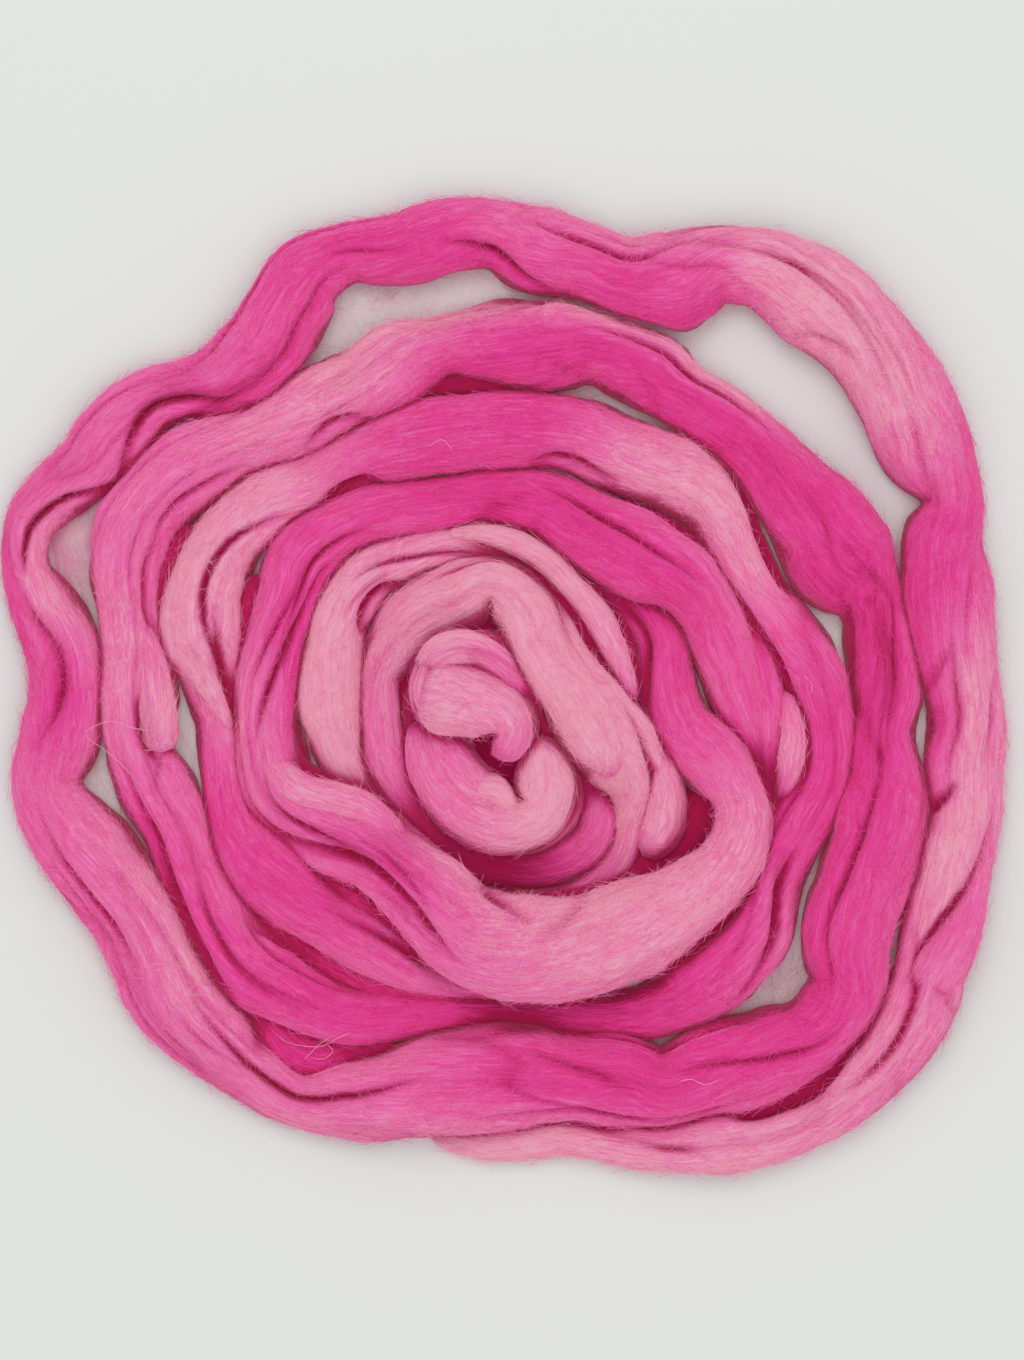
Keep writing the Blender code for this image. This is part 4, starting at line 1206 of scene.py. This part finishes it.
class ROVING_OT_locks(bpy.types.Operator):
    """Lay the separate locks on and beside the strand"""

    bl_idname = "roving.locks"
    bl_label = "Locks"

    def execute(self, context):
        bodies, _ = all_wool(wound_strand(context.scene))
        locks = bodies[1:]
        faces, start = [], 0
        for lock in locks:
            stations, around = lock.places.shape[:2]
            faces.extend(tube_faces(stations, around, start))
            start += stations * around
        mesh_piece("locks", np.vstack([lock.places.reshape(-1, 3) for lock in locks]), faces,
                   np.vstack([lock.lie.reshape(-1, 3) for lock in locks]),
                   np.concatenate([lock.dye.ravel() for lock in locks]),
                   np.concatenate([lock.painted_shade.ravel() for lock in locks]),
                   bpy.data.materials["combed_wool"])
        return {"FINISHED"}


class Cover:
    """How high the wool stands, in small squares seen from above."""

    SQUARE = 1.5 * MM
    # Half the side of the whole grid.
    REACH = 0.24
    # Directions that a place is looked at from, and how far away the wool is looked for.
    DIRECTIONS = 12
    DISTANCES = (3.0 * MM, 5.5 * MM, 9.0 * MM, 14.0 * MM)
    # How much a single side that is hidden counts.
    ONE_SIDED = 0.3

    def __init__(self, bodies):
        count = int(2 * self.REACH / self.SQUARE)
        self.height = np.zeros((count, count))
        places = np.vstack([body.places.reshape(-1, 3) for body in bodies])
        np.maximum.at(self.height, self.square(places), places[:, 2])
        for axis in (0, 1):
            self.height = np.maximum(self.height, np.maximum(
                np.roll(self.height, 1, axis=axis), np.roll(self.height, -1, axis=axis)))

    def square(self, places):
        """The square that each place is over."""
        at = ((places[..., :2] + self.REACH) / self.SQUARE).astype(int)
        at = np.clip(at, 0, len(self.height) - 1)
        return at[..., 0], at[..., 1]

    def above(self, places):
        """How far the wool reaches above each place."""
        return self.height[self.square(places)] - places[..., 2]

    def shelter(self, places):
        """How far the wool on both sides hides each place from the sky, from 0 to 1."""
        hidden = []
        half = self.DIRECTIONS // 2
        for turn in range(self.DIRECTIONS):
            angle = turn * math.pi / half
            way = np.array((math.cos(angle), math.sin(angle), 0.0))
            steepest = np.zeros(places.shape[:-1])
            for reach in self.DISTANCES:
                rise = self.above(places + reach * way) / reach
                steepest = np.maximum(steepest, rise)
            hidden.append(steepest ** 2 / (1.0 + steepest ** 2))
        both = sum(np.minimum(hidden[turn], hidden[turn + half]) for turn in range(half)) / half
        return self.ONE_SIDED * sum(hidden) / self.DIRECTIONS + both


def paint_shade_in_hollows(bodies, cover):
    """Note on each body how much painted shade its points get: how deep in a crease or between
    other wool they lie, and how far the wool around hides them from the sky.
    """
    for body in bodies:
        sheltered = eased(cover.shelter(body.places), 3)
        sheltered = 0.5 * sheltered + 0.25 * (np.roll(sheltered, 1, 1) + np.roll(sheltered, -1, 1))
        body.painted_shade = 0.8 * body.depth + 1.4 * smooth_step(0.05, 0.72, sheltered)


@functools.lru_cache(maxsize=1)
def all_wool(strand):
    """The strand, its locks, and how high they stand."""
    locks = [Lock(rows, FIRST_LOCK_SEED + number) for number, rows in enumerate(LOCKS.values())]
    bodies = [strand, *locks]
    cover = Cover(bodies)
    paint_shade_in_hollows(bodies, cover)
    return bodies, cover


def fibre_paths(body, count, points, chance, fuzzy, loose, radius):
    """Paths, radii, lie, dye and painted shade of fibres on a body's surface or standing off it.
    """
    kind = FUZZ if fuzzy else LYING
    each = (count, 1)

    def by_chance(name):
        """One size of every fibre, in metres."""
        least, more, power = kind[name]
        return (least + more * chance.random(each) ** power) * MM

    stations, around = body.places.shape[:2]
    weight = body.half.sum(axis=1) + body.thick
    weight = np.cumsum(weight) / weight.sum()
    start = np.searchsorted(weight, chance.random(count)).astype(float)
    t = np.linspace(0.0, 1.0, points)[None, :]
    ease = chance.random(each)
    length = by_chance("length") / loose
    below = kind["below"]
    if fuzzy:
        side = chance.beta(AT_EDGES, AT_EDGES, each)
        place = (body.above + 2.0 * below) * side - below
    else:
        place = chance.uniform(-below, body.above + below, each)
    drift = chance.normal(0.0, kind["drift"] * loose ** 2, each)
    if fuzzy:
        lift = by_chance("lift") * t ** 1.2
    else:
        lift = by_chance("lift") * np.sin(math.pi * t) ** 0.5 - kind["lift"][0] * MM
    curl = chance.normal(0.0, kind["curl"], each) * np.sin(t * kind["wave"] + 6.0 * ease)
    heading = np.where(chance.random(each) < 0.5, -1.0, 1.0)
    length = np.minimum(length, 0.5 * body.run[-1])
    station = start[:, None] + heading * length * t / body.spacing
    too_far = (station.min(axis=1) < 0) | (station.max(axis=1) > stations - 2)
    station[too_far] = 2 * start[too_far, None] - station[too_far]
    station = np.clip(station, 0.0, stations - 2.0)
    point = place + (drift * (t - 0.5) + curl) * around / STRAND_POINTS
    on_surface, outward = body.at(station, point)
    paths = on_surface + outward * lift[:, :, None]
    paths[..., 2] = np.maximum(paths[..., 2], LOWEST_FIBRE)
    thin = (1.0 - t) * 3.0 + 0.2 if fuzzy else np.minimum(t, 1.0 - t) * 6.0
    radii = radius * (0.25 + 0.75 * np.clip(thin, 0.0, 1.0))
    radii = radii * (0.7 + 0.6 * chance.random(each))
    index = np.clip(np.round(station).astype(int), 0, stations - 1)
    angle = np.round(point).astype(int) % around
    tone = body.dye[index, angle].mean(axis=1) + chance.normal(-0.08, 0.08, count)
    return paths, radii, body.lie[index, angle], tone, 0.8 * body.painted_shade[index, angle]


def seen_fibres(bodies, cover, count, points, seed, fuzzy, loose, radius):
    """Fibres shared out over the bodies, without those that other wool lies on.

    A loose fibre stays if wool lies on no more than a part of it, so that it reaches the edges
    of its gap.
    """
    chance = np.random.default_rng(seed)
    areas = np.array([(body.half.sum() + body.thick.sum()) * body.spacing for body in bodies])
    shares = TRIES * count * areas / areas.sum()
    deepest = (4.5 if fuzzy else 3.0) * MM
    found = []
    for body, share in zip(bodies, shares):
        made = fibre_paths(body, int(share) + 1, points, chance, fuzzy, loose, radius)
        paths, painted_shade = made[0], made[4]
        buried = cover.above(paths[:, [0, points // 2, -1]])
        buried = buried.min(axis=1) if loose > 1.0 else buried.max(axis=1)
        seen = buried < deepest
        if fuzzy:
            seen &= painted_shade.mean(axis=1) < 0.35 + 2.0 * chance.random(len(painted_shade)) ** 2
        found.append([values[seen] for values in made])
    joined = [np.concatenate(parts) for parts in zip(*found)]
    order = chance.permutation(len(joined[0]))[:count]
    return [values[order] for values in joined]


class ROVING_OT_fibres(bpy.types.Operator):
    """Lay fine fibres along the wool's surface and fuzz that stands off it"""

    bl_idname = "roving.fibres"
    bl_label = "Fibres and fuzz"

    def execute(self, context):
        bodies, cover = all_wool(wound_strand(context.scene))
        veils = [Lock(rows, FIRST_VEIL_SEED + number)
                 for number, rows in enumerate(VEILS.values())]
        paint_shade_in_hollows(veils, cover)
        dye, sizes = context.scene.roving_dye, context.scene.roving_fibres
        material = wool_material("single_fibres", dye, bump=0.0, unevenness=0.10, sheen=0.15)
        # Painted glow: the fibres give off their own colour at a fifth of its strength, standing
        # in for light that passes through them.
        shader = material.node_tree.nodes["Principled BSDF"]
        colour = shader.inputs["Base Color"].links[0].from_socket
        material.node_tree.links.new(colour, shader.inputs["Emission Color"])
        shader.inputs["Emission Strength"].default_value = 0.2
        # Each piece's wool, fibres, points in a fibre, seed, if it stands off, looseness, and
        # radius against the set one.
        fuzz = [(f"fuzz_{number}", bodies, sizes.fuzz, 3, 90 + number, True, 1.0, 1.1)
                for number in (1, 2, 3)]
        for name, wool, count, points, seed, fuzzy, loose, share in (
                ("lying_fibres", bodies, sizes.lying, 7, 71, False, 1.0, 1.0), *fuzz,
                ("veil", veils, sizes.veil, 4, 97, False, 2.0, 0.32)):
            found = seen_fibres(wool, cover, count, points, seed, fuzzy, loose,
                                share * sizes.radius)
            fibre_piece(name, *found, material)
        return {"FINISHED"}


class ROVING_OT_stray_hairs(bpy.types.Operator):
    """Draw the few long hairs that stand out"""

    bl_idname = "roving.stray_hairs"
    bl_label = "Stray hairs"

    STEPS_PER_ROW, POINTS = 8, 24
    # How far a hair lies above the wool, its radius, and its depth of dye.
    LIFT, RADIUS, DYE = 0.8 * MM, 0.13 * MM, -0.05

    def execute(self, context):
        _, cover = all_wool(wound_strand(context.scene))
        paths = []
        for hair in STRAY_HAIRS:
            rows = (np.array(hair, dtype=float) - np.array(MIDDLE)) * MM
            rows = np.column_stack((rows, np.zeros(len(rows))))
            curve, _ = smooth_curve(rows, self.STEPS_PER_ROW)
            share = np.linspace(0.0, len(curve) - 1.0, self.POINTS)
            line = np.column_stack([np.interp(share, np.arange(len(curve)), column)
                                    for column in curve.T])
            line[:, 2] = eased(cover.above(line)[:, None], 3)[:, 0] + self.LIFT
            paths.append(line)
        paths = np.array(paths)
        ends = np.minimum(np.linspace(0, 1, self.POINTS), np.linspace(1, 0, self.POINTS))
        radii = self.RADIUS * (0.3 + 0.7 * np.clip(ends * 8, 0, 1))
        fibre_piece("stray_hairs", paths, np.tile(radii, (len(paths), 1)), paths,
                    np.full(len(paths), self.DYE), np.zeros(paths.shape[:2]),
                    bpy.data.materials["single_fibres"])
        return {"FINISHED"}


class ROVING_OT_stage(bpy.types.Operator):
    """Lay the white surface, and set the light and the camera"""

    bl_idname = "roving.stage"
    bl_label = "Surface, light and camera"

    SURFACE_HALF_SIDE = 20.0
    # Name, place and size in metres, and power against the lamp setting.
    LAMPS = (("window", (-0.15, 0.85, 1.45), 0.9, 1.0), ("fill", (0.35, -0.85, 1.5), 1.4, 0.75))
    # The place that the camera is over in mm, and the length of its sensor's long side.
    CAMERA_OVER = (4.4, 1.9)
    SENSOR = 36.0

    def execute(self, context):
        scene, stage = context.scene, context.scene.roving_stage
        self.lay_surface(scene, stage)
        self.set_lights(scene, stage)
        self.set_camera(scene, stage)
        scene.view_settings.view_transform = "Standard"
        return {"FINISHED"}

    def lay_surface(self, scene, stage):
        """The white surface, wide enough to show no edge from the side."""
        far, low = self.SURFACE_HALF_SIDE, -FLOOR_DROP
        mesh = bpy.data.meshes.new("white_surface")
        mesh.from_pydata([(-far, -far, low), (far, -far, low), (far, far, low), (-far, far, low)],
                         [], [(0, 1, 2, 3)])
        surface = bpy.data.objects.new("white_surface", mesh)
        scene.collection.objects.link(surface)
        material = bpy.data.materials.new("white_surface")
        material.use_nodes = True
        tree = material.node_tree
        shader = tree.nodes["Principled BSDF"]
        set_sockets(shader, {"Roughness": 0.9, "Specular IOR Level": 0.1})
        grain = tree.nodes.new("ShaderNodeTexNoise")
        set_sockets(grain, {"Scale": 60.0, "Detail": 4.0})
        darker = tuple(0.985 * value for value in stage.floor)
        tree.links.new(mixed_colour(tree, grain.outputs[0], (*darker, 1.0), (*stage.floor, 1.0)),
                       shader.inputs["Base Color"])
        mesh.materials.append(material)

    def set_lights(self, scene, stage):
        """Light from all around, and two large soft lamps that aim at the wool's middle."""
        world = bpy.data.worlds.new("soft_daylight")
        world.use_nodes = True
        set_sockets(world.node_tree.nodes["Background"],
                    {"Color": (1.0, 1.0, 1.0, 1.0), "Strength": stage.sky})
        scene.world = world
        for name, place, size, share in self.LAMPS:
            light = bpy.data.lights.new(name, "AREA")
            light.shape, light.size, light.energy = "DISK", size, share * stage.lamp
            lamp = bpy.data.objects.new(name, light)
            lamp.location = place
            aim = -np.array(place) / np.linalg.norm(place)
            lamp.rotation_euler = (
                math.acos(-aim[2]), 0.0, math.atan2(aim[0], -aim[1]) + math.pi)
            scene.collection.objects.link(lamp)

    def set_camera(self, scene, stage):
        """The camera, looking straight down, with the photograph's frame."""
        camera_data = bpy.data.cameras.new("camera")
        camera = bpy.data.objects.new("camera", camera_data)
        camera.location = (*(value * MM for value in self.CAMERA_OVER), stage.camera_height)
        camera_data.sensor_fit = "AUTO"
        camera_data.sensor_width = self.SENSOR
        distance = stage.camera_height - WOOL_HEIGHT * MM
        camera_data.lens = self.SENSOR * distance / (PICTURE_HEIGHT * PIXEL * MM)
        scene.collection.objects.link(camera)
        scene.camera = camera


class ROVING_PT_panel(bpy.types.Panel):
    """Lists the roving's sizes, colours and steps"""

    bl_idname = "ROVING_PT_panel"
    bl_label = "Wool roving"
    bl_space_type = "VIEW_3D"
    bl_region_type = "UI"
    bl_category = "Roving"

    def draw(self, context):
        layout = self.layout
        for title, group, operators in (
                ("Strand", "roving_shape", ("roving.strand", "roving.locks")),
                ("Dye", "roving_dye", ()),
                ("Fibres", "roving_fibres", ("roving.fibres", "roving.stray_hairs")),
                ("Stage", "roving_stage", ("roving.stage",))):
            box = layout.box()
            box.label(text=title)
            settings = getattr(context.scene, group)
            for label in settings.__annotations__:
                box.prop(settings, label)
            for operator in operators:
                box.operator(operator)


CLASSES = (
    RovingShape, RovingDye, RovingFibres, RovingStage,
    ROVING_OT_strand, ROVING_OT_locks, ROVING_OT_fibres, ROVING_OT_stray_hairs,
    ROVING_OT_stage, ROVING_PT_panel,
)
SETTINGS = (("roving_shape", RovingShape), ("roving_dye", RovingDye),
            ("roving_fibres", RovingFibres), ("roving_stage", RovingStage))


def register():
    """Register the classes and hang the settings on the scene."""
    for item in CLASSES:
        bpy.utils.register_class(item)
    for name, group in SETTINGS:
        setattr(bpy.types.Scene, name, bpy.props.PointerProperty(type=group))


def unregister():
    """Take the settings and the classes away again."""
    for name, _ in SETTINGS:
        delattr(bpy.types.Scene, name)
    for item in reversed(CLASSES):
        bpy.utils.unregister_class(item)


def main():
    """Build every piece and the stage, and note the strand's length and path on its piece."""
    register()
    bpy.ops.roving.stage()
    bpy.ops.roving.strand()
    bpy.ops.roving.locks()
    bpy.ops.roving.fibres()
    bpy.ops.roving.stray_hairs()


if __name__ == "__main__":
    main()
